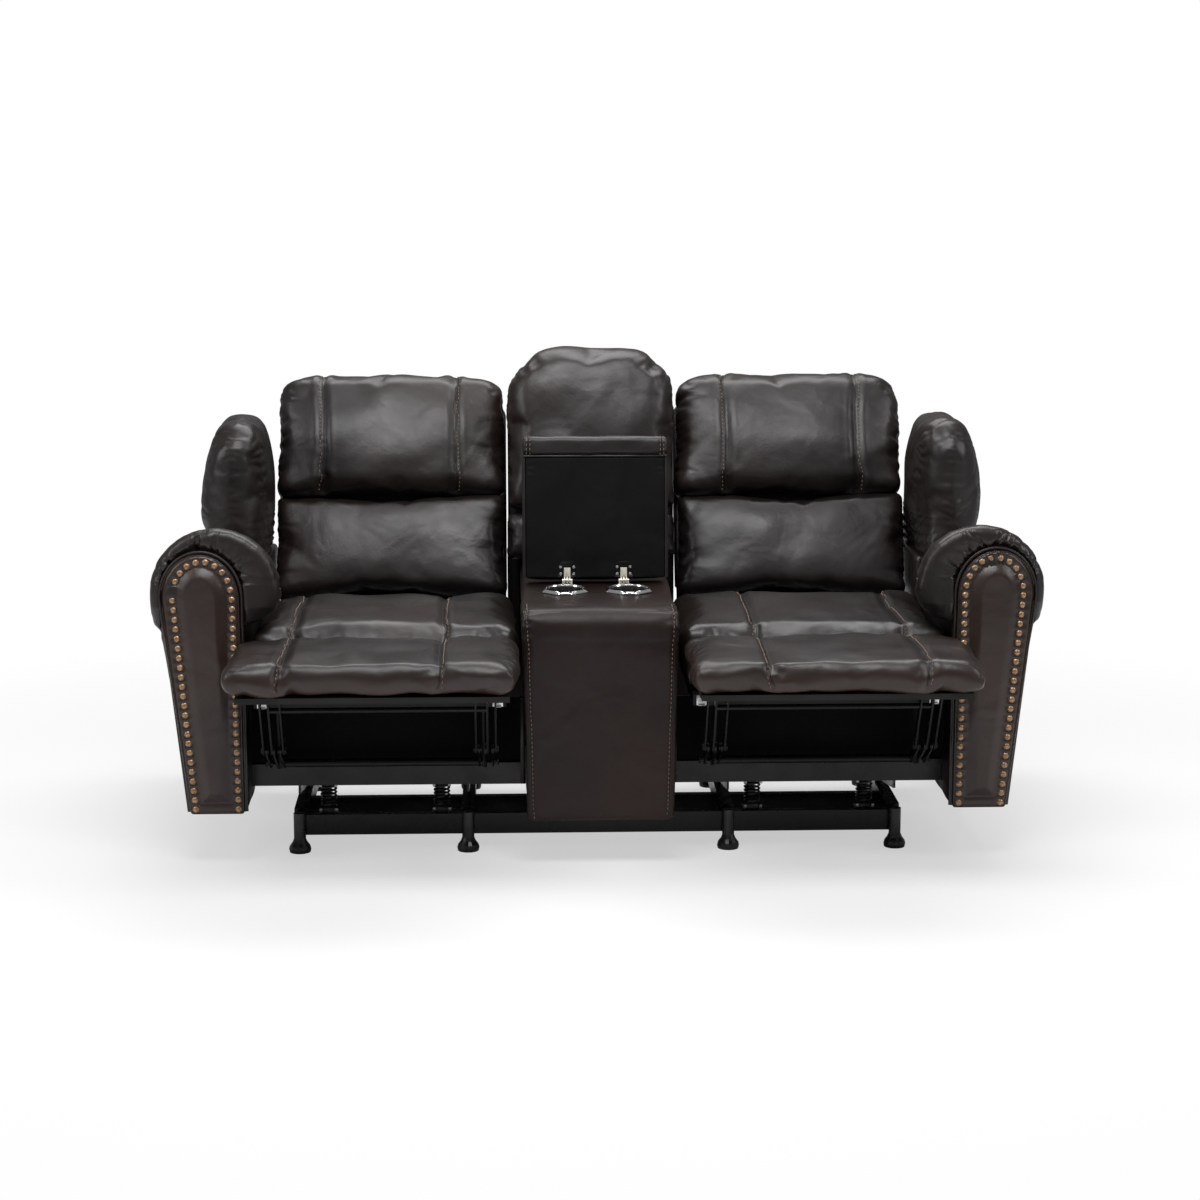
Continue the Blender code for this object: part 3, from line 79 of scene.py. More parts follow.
# Seams
SEAT_SEAM_INNER_X = 0.330
SEAT_SEAM_OUTER_X = 0.640
HEAD_SEAM_INNER_X = 0.310
HEAD_SEAM_OUTER_X = 0.612
SEAM_WIDTH = 0.0075
SEAM_DEPTH = 0.0050
SEAT_GATHER_REACH = 0.26  # how far from a seat's middle its front edge is gathered
FOOT_GATHER_REACH = 0.27
FOLD_RADIUS = 0.0013
STITCH_LENGTH = 0.0062
STITCH_PITCH = 0.0095
STITCH_RADIUS = 0.0010
STITCH_OFFSET = 0.0085
STITCH_SIDES = 5
# Along a stitch: the share of its length, the share of its radius, and its lift in radii
STITCH_RINGS = ((-0.5, 0.35, -0.7), (-0.22, 1.0, 0.25), (0.22, 1.0, 0.25), (0.5, 0.35, -0.7))

# Arm front
PANEL_BORDER = 0.026  # flat leather under the nails
PANEL_CROWN = 0.010
NAIL_RADIUS = 0.0075
NAIL_HEIGHT = 0.0048
NAIL_PITCH = 0.0203
NAIL_TILT = 0.12  # radians either way
NAIL_INSET = 0.0160
NAIL_OUTER_INSET = 0.029
NAIL_FOOT_INSET = 0.012
NAIL_FOOT_SHIFT = 0.004
WELT_RADIUS = 0.0026
RING_GAP = 0.0050  # from the panel to the second welt
PANEL_RIM = 0.0090  # its outer edge, which rounds back
ARM_ROLL_Z = 0.574
PANEL_FOOT_X = 0.863
PANEL_FRONT = 0.022
ARM_SEAM_X = 0.672  # the seam along the roll's inner side
ARM_SEAM_Z = 0.600
ARM_SEAM_FALL = 0.20
ROLL_SWELL = 0.021  # how far the roll stands out round its panel
ROLL_OVERHANG = 0.011  # over the panel's outer edge
WING_INNER_X = 0.7212
WING_MIDDLE_X = 0.800
WING_WIDE_Z = 0.790  # a wing is widened below this height
WING_LEVEL = 0.010
WING_LEVELS = 61
ROLL_MIDDLE_X = 0.832  # the round of the arm, as the wing's foot meets it
ROLL_HALF_WIDTH = 0.092
ROLL_SIDE_Z = 0.522
ROLL_HEIGHT = 0.096

# Console
DECK_Z = 0.548
CONSOLE_NARROWING = 0.068  # its foot is narrower than its deck by this share
CONSOLE_FLARE = 0.022  # its front is wider than its rear by this share
CONSOLE_SEAM_OFFSET = 0.0048
CUP_RADIUS = 0.041
CUP_RIM_RADIUS = 0.053
CUP_DEPTH = 0.072
LID_FACE = 0.008  # its lining lies this far behind the hinge axis
LID_HALF_WIDTH = 0.160
LID_STRIP_LOW = 0.272
LID_STRIP_HIGH = 0.316
LID_STRIP_RISE = 0.0125
HINGE_X = 0.062
HINGE_PLATE_WIDTH = 0.042
HINGE_PLATE_TOP = 0.041
HINGE_ARM_WIDTH = 0.014
HINGE_ARM_TOP = 0.028

# Mechanism
MECHANISM_X = 0.462  # middle of one seat's mechanism
PIVOT_DEPTH = 0.550
BACK_SHELL_INNER_X = 0.1938
BACK_SHELL_OUTER_X = 0.7165
PIVOT_Z = 0.470
LINK_THICKNESS = 0.004
FRONT_CLOTH_DEPTH = 0.102
FRONT_RAIL_TOP_Z = 0.194

# Studio
SENSOR = 36.0
CAMERA_LENS = 80.67
CAMERA_PLACE = (-0.197, ARM_FRONT_Y - 5.535, 1.570)
CAMERA_DOWN = 10.30
CAMERA_TURN = -2.04
WORLD_FILL = 0.22
FLOOR_RADIUS = 14.0
FLOOR_GLOW = 0.55


def behind(depth):
    """The y of a place this far behind the front of the arms."""
    return ARM_FRONT_Y + depth


def tilted(origin, tilt):
    """The local frame of an upright part that leans back about its foot."""
    return Matrix.Translation(origin) @ Matrix.Rotation(-tilt, 4, "X")


# Handling meshes


def alone(piece):
    """Selects one piece and nothing else."""
    bpy.ops.object.select_all(action="DESELECT")
    piece.select_set(True)
    bpy.context.view_layer.objects.active = piece


def apply_modifiers(piece):
    alone(piece)
    for modifier in list(piece.modifiers):
        bpy.ops.object.modifier_apply(modifier=modifier.name)


def modified(piece, kind, **settings):
    """Puts a piece through one modifier."""
    modifier = piece.modifiers.new(kind.lower(), kind)
    for key, value in settings.items():
        setattr(modifier, key, value)
    apply_modifiers(piece)
    return piece


def divided(piece, levels, **settings):
    return modified(piece, "SUBSURF", levels=levels, render_levels=levels, **settings)


def relaxed(piece, rounds):
    return modified(piece, "SMOOTH", factor=0.5, iterations=rounds)


def evenly_meshed(piece, size, rounds):
    """Gives a piece a mesh of even squares and relaxes it."""
    modified(piece, "REMESH", mode="VOXEL", voxel_size=size)
    return relaxed(piece, rounds)


def softened(piece, width, segments, angle=None):
    """Rounds a piece's edges, or only those sharper than an angle."""
    limit = {} if angle is None else {"angle_limit": math.radians(angle)}
    return modified(piece, "BEVEL", width=width, segments=segments, **limit)


@contextmanager
def editing(piece):
    """Edit mode with all of a piece selected."""
    alone(piece)
    bpy.ops.object.mode_set(mode="EDIT")
    bpy.ops.mesh.select_all(action="SELECT")
    yield
    bpy.ops.object.mode_set(mode="OBJECT")


@contextmanager
def editing_some(piece, kind, elements, chosen):
    """Edit mode with those edges or faces selected that pass a test."""
    alone(piece)
    bpy.ops.object.mode_set(mode="EDIT")
    bpy.ops.mesh.select_mode(type=kind)
    bpy.ops.mesh.select_all(action="DESELECT")
    bpy.ops.object.mode_set(mode="OBJECT")
    for element in getattr(piece.data, elements):
        element.select = chosen(element)
    bpy.ops.object.mode_set(mode="EDIT")
    yield
    bpy.ops.object.mode_set(mode="OBJECT")


def settle(piece):
    """Puts the object's place, turn and size into its mesh."""
    alone(piece)
    bpy.ops.object.transform_apply(location=True, rotation=True, scale=True)


def moved(piece, matrix):
    """Moves a piece that was modelled in a part's own frame to its place."""
    piece.data.transform(matrix)
    piece.data.update()
    return piece


def outward(piece):
    """Merges doubled points and turns all faces outwards."""
    with editing(piece):
        bpy.ops.mesh.remove_doubles(threshold=0.00005)
        bpy.ops.mesh.normals_make_consistent(inside=False)


def smooth(piece, angle=None):
    alone(piece)
    if angle is None:
        bpy.ops.object.shade_smooth()
    else:
        bpy.ops.object.shade_smooth_by_angle(angle=math.radians(angle))


def finished(piece, material, body, angle=None):
    """Gives a piece its material and the body that it rides on; with an angle, its shading too."""
    if angle is not None:
        smooth(piece, angle)
    piece.data.materials.clear()
    piece.data.materials.append(material)
    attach(piece, body)
    return piece


def joined(pieces, name):
    """One piece from several."""
    bpy.ops.object.select_all(action="DESELECT")
    for piece in pieces:
        piece.select_set(True)
    bpy.context.view_layer.objects.active = pieces[0]
    bpy.ops.object.join()
    whole = bpy.context.object
    whole.name = whole.data.name = name
    return whole


def new_piece(name, points, faces):
    mesh = bpy.data.meshes.new(name)
    mesh.from_pydata([tuple(p) for p in points], [], faces)
    piece = bpy.data.objects.new(name, mesh)
    bpy.context.scene.collection.objects.link(piece)
    return piece


def coordinates(piece):
    points = np.empty(len(piece.data.vertices) * 3)
    piece.data.vertices.foreach_get("co", points)
    return points.reshape(-1, 3)


def normals(piece):
    vectors = np.empty(len(piece.data.vertices) * 3)
    piece.data.vertex_normals.foreach_get("vector", vectors)
    return vectors.reshape(-1, 3)


def reshape(piece, points):
    piece.data.vertices.foreach_set("co", np.asarray(points, dtype=np.float64).ravel())
    piece.data.update()


def node_copy(node, name):
    """A new piece with the merged mesh of a CAD node."""
    piece = bpy.data.objects.new(name, frame["nodes"][node].data.copy())
    bpy.context.scene.collection.objects.link(piece)
    with editing(piece):
        bpy.ops.mesh.remove_doubles(threshold=0.0001)
    return piece


def surface_of(piece):
    mesh = piece.data
    return BVHTree.FromPolygons([v.co for v in mesh.vertices], [p.vertices for p in mesh.polygons])


# Lines on a surface


def evenly(path, step):
    """The points of a path at even distances."""
    path = np.asarray(path, dtype=float)
    lengths = np.linalg.norm(np.diff(path, axis=0), axis=1)
    places = np.concatenate([[0.0], np.cumsum(lengths)])
    count = max(2, round(places[-1] / step) + 1)
    wanted = np.linspace(0.0, places[-1], count)
    return np.stack([np.interp(wanted, places, path[:, axis]) for axis in range(3)], axis=1)


def laid_on(piece, path):
    """A path brought down onto a piece's surface: its points and the surface's normals there."""
    tree = surface_of(piece)
    points = evenly(path, LINE_STEP)
    for _ in range(2):
        points = np.array([tree.find_nearest(Vector(p))[0] for p in points])
        points[1:-1] = (points[:-2] + 2 * points[1:-1] + points[2:]) / 4
    points = evenly(points, LINE_STEP)
    hits = [tree.find_nearest(Vector(p)) for p in points]
    return np.array([hit[0] for hit in hits]), np.array([hit[1] for hit in hits])


def beside(points, line):
    """For each point, how far along a line its nearest place lies, and how far away that is."""
    line = evenly(line, 0.005)
    steps = np.gradient(line, axis=0)
    steps /= np.linalg.norm(steps, axis=1)[:, None]
    lengths = np.concatenate([[0.0], np.cumsum(np.linalg.norm(np.diff(line, axis=0), axis=1))])
    tree = KDTree(len(line))
    for i, place in enumerate(line):
        tree.insert(place, i)
    tree.balance()
    nearest = np.array([tree.find(p)[1] for p in points])
    offset = points - line[nearest]
    onward = np.einsum("ij,ij->i", offset, steps[nearest])
    away = np.linalg.norm(offset - onward[:, None] * steps[nearest], axis=1)
    past_end = ((nearest == 0) & (onward < 0)) | ((nearest == len(line) - 1) & (onward > 0))
    away = np.where(past_end, np.linalg.norm(offset, axis=1), away)
    return lengths[nearest] + onward, away, lengths[-1]


def edge_line(piece, up, out, low, high):
    """The line along a piece's rim on one side: its furthest points towards out at rising heights."""
    points = coordinates(piece)
    heights = points @ np.array(up)
    reach = points @ np.array(out)
    line = []
    levels = np.linspace(low, high, RIM_LEVELS)
    half = abs(levels[1] - levels[0])
    for level in levels:
        near = np.where(abs(heights - level) < half)[0]
        if len(near):
            line.append(points[near[np.argmax(reach[near])]])
    line = np.array(line)
    for _ in range(3):
        line[1:-1] = (line[:-2] + line[1:-1] + line[2:]) / 3
    return line


# Leather covers


def gather(piece, line, count, reach, width, depth, seed, lean=0.25):
    """Presses folds into a cover that run away from a sewn line, each with its own length and slant."""
    points = coordinates(piece)
    along, away, length = beside(points, line)
    draw = random.Random(seed)
    press = np.zeros(len(points))
    for i in range(count):
        place = length * (i + draw.uniform(0.1, 0.9)) / count
        long = reach * draw.uniform(0.4, 1.2)
        wide = width * draw.uniform(0.7, 1.5)
        deep = depth * draw.uniform(0.45, 1.1)
        slant = draw.uniform(-lean, lean)
        across = (along - place - slant * away) / (wide * (0.7 + 0.8 * away / long))
        press += deep * np.exp(-across * across) * np.clip(1 - away / long, 0, 1) ** 1.4
    press *= 1 - 0.6 * np.exp(-((away / 0.009) ** 2))
    reshape(piece, points - normals(piece) * press[:, None])


def sewn(piece, line, width=SEAM_WIDTH, depth=SEAM_DEPTH):
    """Draws a cover in along a seam, with a low swell on both sides."""
    points = coordinates(piece)
    _, away, _ = beside(points, line)
    bulge = depth * 0.22 * np.exp(-(((away - 2.6 * width) / width) ** 2))
    press = depth * np.exp(-((away / width) ** 2)) - bulge
    reshape(piece, points - normals(piece) * press[:, None])


def ripple(piece, length, depth, seed):
    """Low soft waves all over a cover."""
    draw = np.random.default_rng(seed)
    points = coordinates(piece)
    height = np.zeros(len(points))
    for _ in range(RIPPLE_WAVES):
        way = draw.normal(size=3)
        way /= np.linalg.norm(way)
        wave = length * draw.uniform(0.6, 1.7)
        height += np.sin(points @ way * 2 * math.pi / wave + draw.uniform(0, 6.3))
    reshape(piece, points + normals(piece) * (depth * height / math.sqrt(RIPPLE_WAVES))[:, None])


def rounded_copy(node, name):
    """The CAD solid's form without its facets."""
    return divided(node_copy(node, name), 2)


def kept_inside(piece, solid, proud):
    """Brings back what swelled out of a form."""
    tree = surface_of(solid)
    points = coordinates(piece)
    for i, place in enumerate(points):
        near, normal, _, distance = tree.find_nearest(Vector(place))
        if (Vector(place) - near).dot(normal) > 0 and distance > proud * 0.5:
            points[i] = near + (Vector(place) - near).normalized() * (proud * math.tanh(distance / proud))
    reshape(piece, points)


def filled_out(piece, low, high):
    """Stretches a cover until it fills its box."""
    points = coordinates(piece)
    least, most = points.min(axis=0), points.max(axis=0)
    low, high = np.array(low), np.array(high)
    reshape(piece, low + (points - least) * (high - low) / (most - least))


def swell(piece):
    """Fills a cover from inside, as its foam and fibre do."""
    start = coordinates(piece)
    modifier = piece.modifiers.new("cover", "CLOTH")
    cloth = modifier.settings
    cloth.quality = 4
    cloth.mass = 0.3
    cloth.tension_stiffness = cloth.compression_stiffness = 15
    cloth.shear_stiffness = 5
    cloth.bending_stiffness = 0.6
    cloth.use_pressure = True
    cloth.uniform_pressure_force = COVER_PRESSURE
    cloth.shrink_min = -COVER_SPARE
    cloth.effector_weights.gravity = 0.0
    modifier.collision_settings.use_self_collision = False
    modifier.point_cache.frame_start = 1
    modifier.point_cache.frame_end = COVER_FRAMES
    for number in range(1, COVER_FRAMES + 1):
        bpy.context.scene.frame_set(number)
    apply_modifiers(piece)
    bpy.context.scene.frame_set(1)
    move = coordinates(piece) - start
    length = np.linalg.norm(move, axis=1)
    share = np.minimum(1.0, COVER_REACH / np.maximum(length, 1e-9))
    reshape(piece, start + move * share[:, None])


def cover(node, name, grid=COVER_GRID, swells=True, inset=COVER_INSET, wider=(0.0, 0.0)):
    """A leather cover in the place of a CAD solid: shrunk, meshed evenly, filled, and kept in its space."""
    form = rounded_copy if swells else node_copy
    solid = form(node, "limit")
    piece = form(node, name)
    if inset:
        with editing(piece):
            bpy.ops.transform.shrink_fatten(value=-inset)
    evenly_meshed(piece, grid, 10 if swells else 6)
    if swells:
        swell(piece)
    elif inset:
        reshape(piece, coordinates(piece) + normals(piece) * inset)
    kept_inside(piece, solid, COVER_PROUD)
    bpy.data.objects.remove(solid)
    if swells:
        relaxed(piece, 5)
    low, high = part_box(node)
    filled_out(piece, (low.x - wider[0], low.y, low.z), (high.x + wider[1], high.y, high.z))
    divided(piece, 1)
    smooth(piece)
    return piece


# Sewing work


def tube(name, path, radius, sides=8):
    """A round cord along a path."""
    curve = bpy.data.curves.new(name, "CURVE")
    curve.dimensions = "3D"
    curve.bevel_depth = radius
    curve.bevel_resolution = max(0, sides // 4 - 1)
    curve.use_fill_caps = True
    spline = curve.splines.new("POLY")
    spline.points.add(len(path) - 1)
    for point, place in zip(spline.points, path):
        point.co = (*place, 1.0)
    piece = bpy.data.objects.new(name, curve)
    bpy.context.scene.collection.objects.link(piece)
    alone(piece)
    bpy.ops.object.convert(target="MESH")
    smooth(piece)
    return piece


def stitches(name, points, faces_out, offset=0.0):
    """A row of thread stitches along a line on a surface, moved sideways by the offset."""
    line = np.asarray(points)
    steps = np.gradient(line, axis=0)
    steps /= np.linalg.norm(steps, axis=1)[:, None]
    sideways = np.cross(steps, faces_out)
    sideways /= np.linalg.norm(sideways, axis=1)[:, None]
    lengths = np.concatenate([[0.0], np.cumsum(np.linalg.norm(np.diff(line, axis=0), axis=1))])
    verts, faces = [], []
    rings, sides = STITCH_RINGS, STITCH_SIDES
    for place in np.arange(STITCH_PITCH / 2, lengths[-1], STITCH_PITCH):
        i = min(len(line) - 1, int(np.searchsorted(lengths, place)))
        out, step, side = faces_out[i], steps[i], sideways[i]
        centre = line[i] - step * (lengths[i] - place) + side * offset
        base = len(verts)
        for along, size, lift in rings:
            for k in range(sides):
                angle = 2 * math.pi * k / sides
                round_x = math.cos(angle) * STITCH_RADIUS * size
                round_z = math.sin(angle) * STITCH_RADIUS * size + STITCH_RADIUS * lift
                verts.append(centre + step * STITCH_LENGTH * along + side * round_x + out * round_z)
        for ring in range(len(rings) - 1):
            for k in range(sides):
                a, b = base + ring * sides + k, base + ring * sides + (k + 1) % sides
                faces.append((a, b, b + sides, a + sides))
        faces.append(tuple(base + k for k in reversed(range(sides))))
        faces.append(tuple(base + (len(rings) - 1) * sides + k for k in range(sides)))
    piece = new_piece(name, verts, faces)
    outward(piece)
    smooth(piece)
    return piece


# Finishes


class Nodes:
    """The nodes of one material, added and linked by short calls."""

    def __init__(self, name):
        self.material = bpy.data.materials.new(name)
        self.material.use_nodes = True
        self.tree = self.material.node_tree
        self.shader = self.tree.nodes["Principled BSDF"]
        self.place = self.add("ShaderNodeTexCoord").outputs["Object"]

    def add(self, kind, **values):
        node = self.tree.nodes.new(kind)
        for key, value in values.items():
            setattr(node, key, value)
        return node

    def link(self, source, target):
        self.tree.links.new(source, target)
        return target

    def stretched(self, scale):
        mapping = self.add("ShaderNodeMapping")
        mapping.inputs["Scale"].default_value = scale
        self.link(self.place, mapping.inputs["Vector"])
        return mapping.outputs["Vector"]

    def noise(self, scale, detail=3.0, roughness=0.5, distortion=0.0, vector=None):
        node = self.add("ShaderNodeTexNoise")
        node.inputs["Scale"].default_value = scale
        node.inputs["Detail"].default_value = detail
        node.inputs["Roughness"].default_value = roughness
        node.inputs["Distortion"].default_value = distortion
        self.link(vector or self.place, node.inputs["Vector"])
        return node.outputs["Fac"]

    def cells(self, scale, feature="F1", vector=None):
        node = self.add("ShaderNodeTexVoronoi", feature=feature)
        node.inputs["Scale"].default_value = scale
        self.link(vector or self.place, node.inputs["Vector"])
        return node.outputs["Distance"]

    def spread(self, value, low, high, from_low=0.3, from_high=0.7):
        node = self.add("ShaderNodeMapRange")
        limits = {"From Min": from_low, "From Max": from_high, "To Min": low, "To Max": high}
        for key, number in limits.items():
            node.inputs[key].default_value = number
        self.link(value, node.inputs["Value"])
        return node.outputs["Result"]

    def mixed(self, factor, first, second):
        """A colour between two, each a colour or another node's output."""
        node = self.add("ShaderNodeMix", data_type="RGBA")
        self.link(factor, node.inputs["Factor"])
        for socket, colour in (("A", first), ("B", second)):
            target = [s for s in node.inputs if s.name == socket and s.type == "RGBA"][0]
            if isinstance(colour, tuple):
                target.default_value = (*colour, 1.0)
            else:
                self.link(colour, target)
        return [s for s in node.outputs if s.type == "RGBA"][0]

    def bump(self, height, distance, strength=1.0, below=None):
        node = self.add("ShaderNodeBump")
        node.inputs["Distance"].default_value = distance
        node.inputs["Strength"].default_value = strength
        self.link(height, node.inputs["Height"])
        if below is not None:
            self.link(below, node.inputs["Normal"])
        return node.outputs["Normal"]

    def done(self, colour, roughness, normal=None, **constants):
        shader = self.shader
        for socket, value in (("Base Color", colour), ("Roughness", roughness)):
            if isinstance(value, tuple):
                shader.inputs[socket].default_value = (*value, 1.0)
            elif isinstance(value, float):
                shader.inputs[socket].default_value = value
            else:
                self.link(value, shader.inputs[socket])
        if normal is not None:
            self.link(normal, shader.inputs["Normal"])
        for key, value in constants.items():
            shader.inputs[key.replace("_", " ")].default_value = value
        return self.material


DULL = (0.40, 0.52)  # the roughness of the less glossy leathers


def leather(name, dark, light, warm, roughness=(0.33, 0.47), specular=0.5):
    """Semi-gloss leather: clouded colour, broad soft creases and a pebbled grain."""
    n = Nodes(name)
    clouds = n.spread(n.noise(5.0, 4.0, 0.55, 0.6), 0.0, 1.0, 0.32, 0.68)
    patches = n.spread(n.noise(2.3, 2.0, 0.5), 0.0, 0.75, 0.45, 0.72)
    flecks = n.spread(n.noise(160.0, 4.0, 0.6), 0.0, 0.35)
    colour = n.mixed(clouds, dark, light)
    colour = n.mixed(patches, colour, warm)
    colour = n.mixed(flecks, colour, tuple(c * 0.6 for c in dark))
    gloss = n.spread(n.noise(8.0, 5.0, 0.6, 0.4), roughness[0], roughness[1])
    waves = n.bump(n.noise(9.0, 2.0, 0.45, 0.6), 0.0050)
    creases = n.bump(n.noise(48.0, 5.0, 0.55, 1.2), 0.00042, 0.8, waves)
    pebbles = n.bump(n.cells(640.0, "SMOOTH_F1"), 0.00010, 0.7, creases)
    return n.done(colour, gloss, pebbles, Specular_IOR_Level=specular)


def footrest_leather():
    """The espresso leather, redder and lighter towards the bottom of the pad."""
    material = LEATHER.copy()
    material.name = "footrest_leather"
    tree = material.node_tree
    shader = tree.nodes["Principled BSDF"]
    colour = shader.inputs["Base Color"].links[0].from_socket
    place = tree.nodes.new("ShaderNodeTexCoord")
    split = tree.nodes.new("ShaderNodeSeparateXYZ")
    height = tree.nodes.new("ShaderNodeMapRange")
    for key, value in (("From Min", 0.445), ("From Max", 0.492), ("To Min", 1.0), ("To Max", 0.0)):
        height.inputs[key].default_value = value
    mix = tree.nodes.new("ShaderNodeMix")
    mix.data_type = "RGBA"
    first, second = [s for s in mix.inputs if s.type == "RGBA"]
    second.default_value = (0.0260, 0.0115, 0.0078, 1.0)
    tree.links.new(place.outputs["Object"], split.inputs[0])
    tree.links.new(split.outputs["Z"], height.inputs["Value"])
    tree.links.new(height.outputs["Result"], mix.inputs["Factor"])
    tree.links.new(colour, first)
    tree.links.new([s for s in mix.outputs if s.type == "RGBA"][0], shader.inputs["Base Color"])
    return material


def painted_steel():
    """Gloss black enamel with a slight orange peel."""
    n = Nodes("gloss_black_enamel")
    dust = n.spread(n.noise(28.0, 5.0, 0.6), 0.0, 0.5, 0.45, 0.75)
    colour = n.mixed(dust, (0.0020, 0.0020, 0.0022), (0.0060, 0.0058, 0.0056))
    gloss = n.spread(n.noise(16.0, 4.0), 0.16, 0.34)
    peel = n.bump(n.noise(380.0, 2.0), 0.00016, 0.6)
    return n.done(colour, gloss, peel, Specular_IOR_Level=0.28)


def spring_wire():
    n = Nodes("oiled_spring_steel")
    colour = n.mixed(n.spread(n.noise(60.0, 4.0), 0.0, 1.0), (0.03, 0.03, 0.032), (0.075, 0.072, 0.07))
    gloss = n.spread(n.noise(45.0, 3.0), 0.24, 0.42)
    return n.done(colour, gloss, n.bump(n.noise(500.0), 0.0001), Metallic=0.85)


def moulded_plastic():
    n = Nodes("gloss_black_plastic")
    colour = n.mixed(n.spread(n.noise(40.0, 3.0), 0.0, 1.0), (0.008, 0.008, 0.008), (0.016, 0.016, 0.016))
    return n.done(colour, n.spread(n.noise(25.0, 4.0), 0.22, 0.38), n.bump(n.noise(260.0, 2.0), 0.0001))


def brushed_nickel():
    """Warm satin nickel, brushed up and down."""
    n = Nodes("brushed_nickel")
    brushed = n.noise(900.0, 3.0, 0.6, vector=n.stretched((1.0, 0.06, 0.06)))
    colour = n.mixed(n.spread(brushed, 0.0, 1.0), (0.66, 0.63, 0.54), (0.80, 0.77, 0.68))
    return n.done(colour, n.spread(brushed, 0.28, 0.42), n.bump(brushed, 0.00006), Metallic=0.6)


def bright_chrome():
    n = Nodes("bright_chrome")
    colour = n.mixed(n.spread(n.noise(30.0, 3.0), 0.0, 1.0), (0.80, 0.80, 0.82), (0.88, 0.88, 0.89))
    gloss = n.spread(n.noise(18.0, 4.0), 0.12, 0.22)
    return n.done(colour, gloss, n.bump(n.noise(700.0), 0.00002), Metallic=1.0)


def zinc():
    n = Nodes("bright_zinc")
    spangle = n.cells(190.0)
    colour = n.mixed(n.spread(spangle, 0.0, 1.0, 0.1, 0.6), (0.48, 0.48, 0.49), (0.66, 0.66, 0.65))
    return n.done(colour, n.spread(n.noise(60.0, 4.0), 0.26, 0.42), n.bump(spangle, 0.00005), Metallic=1.0)


def antique_bronze():
    """Nail heads: bright where rubbed, brown elsewhere, over a hammered face."""
    n = Nodes("antique_bronze")
    worn = n.noise(210.0, 5.0, 0.65)
    colour = n.mixed(n.spread(worn, 0.0, 1.0, 0.34, 0.66), (0.23, 0.135, 0.080), (0.46, 0.300, 0.190))
    hammered = n.bump(n.cells(240.0, "SMOOTH_F1"), 0.00014, 0.5)
    return n.done(colour, n.spread(worn, 0.46, 0.34), hammered, Metallic=0.75)


def sewing_thread():
    n = Nodes("tan_thread")
    twist = n.noise(1400.0, 2.0, 0.5, vector=n.stretched((1.0, 1.0, 0.5)))
    colour = n.mixed(n.spread(twist, 0.0, 1.0), (0.10, 0.050, 0.030), (0.20, 0.110, 0.070))
    return n.done(colour, 0.7, n.bump(twist, 0.0003), Sheen_Weight=0.25)


def painted_board():
    """Plywood painted flat black, with its grain showing through."""
    n = Nodes("black_painted_board")
    grain = n.noise(26.0, 6.0, 0.6, 0.8, n.stretched((0.15, 1.0, 1.0)))
    colour = n.mixed(n.spread(grain, 0.0, 1.0), (0.0050, 0.0048, 0.0045), (0.0120, 0.0112, 0.0100))
    return n.done(colour, n.spread(grain, 0.50, 0.70), n.bump(grain, 0.0004, 0.6), Specular_IOR_Level=0.35)


def dust_cloth():
    """Black non-woven cloth with its dimpled pattern; its colour is darkened further as painted shade, for the
    dark under the footrests.
    """
    n = Nodes("black_dust_cloth")
    fibres = n.noise(420.0, 5.0, 0.7)
    dimples = n.cells(330.0)
    colour = n.mixed(n.spread(fibres, 0.0, 1.0), (0.0012, 0.0012, 0.0012), (0.0040, 0.0040, 0.0038))
    return n.done(colour, n.spread(fibres, 0.8, 0.95), n.bump(dimples, 0.0004, 0.6), Specular_IOR_Level=0.15)


LEATHER = leather(
    "espresso_leather", (0.0058, 0.0042, 0.0036), (0.0120, 0.0086, 0.0073), (0.0185, 0.0092, 0.0066)
)
PANEL_LEATHER = leather(
    "arm_panel_leather", (0.0160, 0.0090, 0.0066), (0.0290, 0.0170, 0.0130), (0.0340, 0.0165, 0.0118), (0.30, 0.42)
)
CONSOLE_LEATHER = leather(
    "console_leather", (0.0085, 0.0040, 0.0030), (0.0145, 0.0068, 0.0049), (0.0230, 0.0084, 0.0058), DULL, 0.30
)
LINING = leather(
    "lid_lining", (0.0020, 0.0018, 0.0016), (0.0034, 0.0030, 0.0027), (0.0038, 0.0031, 0.0026), DULL, 0.2
)
# Darker than the espresso leather: painted shade, for the cords laid in seam grooves and in the recess round each
# arm panel.
GROOVE_SHADE_LEATHER = leather(
    "folded_edge_leather", (0.0030, 0.0024, 0.0021), (0.0050, 0.0040, 0.0035), (0.0060, 0.0038, 0.0032)
)
FOOTREST_LEATHER = footrest_leather()
STEEL = painted_steel()
SPRING_STEEL = spring_wire()
PLASTIC = moulded_plastic()
NICKEL = brushed_nickel()
CHROME = bright_chrome()
ZINC = zinc()
BRONZE = antique_bronze()
THREAD = sewing_thread()
CLOTH = dust_cloth()
BOARD = painted_board()


def dress(nodes, material):
    """Gives CAD nodes that stay in view a worked-out finish."""
    for node in nodes:
        for slot in frame["nodes"][node].material_slots:
            slot.material = material


# Cushions


def seam_line(piece, rough, name, body, side=1.0, stitched=True):
    """A sewn seam: the cover drawn in, the folded edge in the groove as a cord of darker leather, which paints the
    groove's shade, and stitches beside it.
    """
    line, _ = laid_on(piece, rough)
    sewn(piece, line)
    line, out = laid_on(piece, line)
    # The fold cord is darker than the cover: painted shade in the seam's groove.
    fold = tube(f"{name}_fold", line + out * FOLD_RADIUS * 0.15, FOLD_RADIUS)
    finished(fold, GROOVE_SHADE_LEATHER, body)
    if stitched:
        row = stitches(f"{name}_stitches", *laid_on(piece, line), offset=side * STITCH_OFFSET)
        drop(row, piece)
        finished(row, THREAD, body)


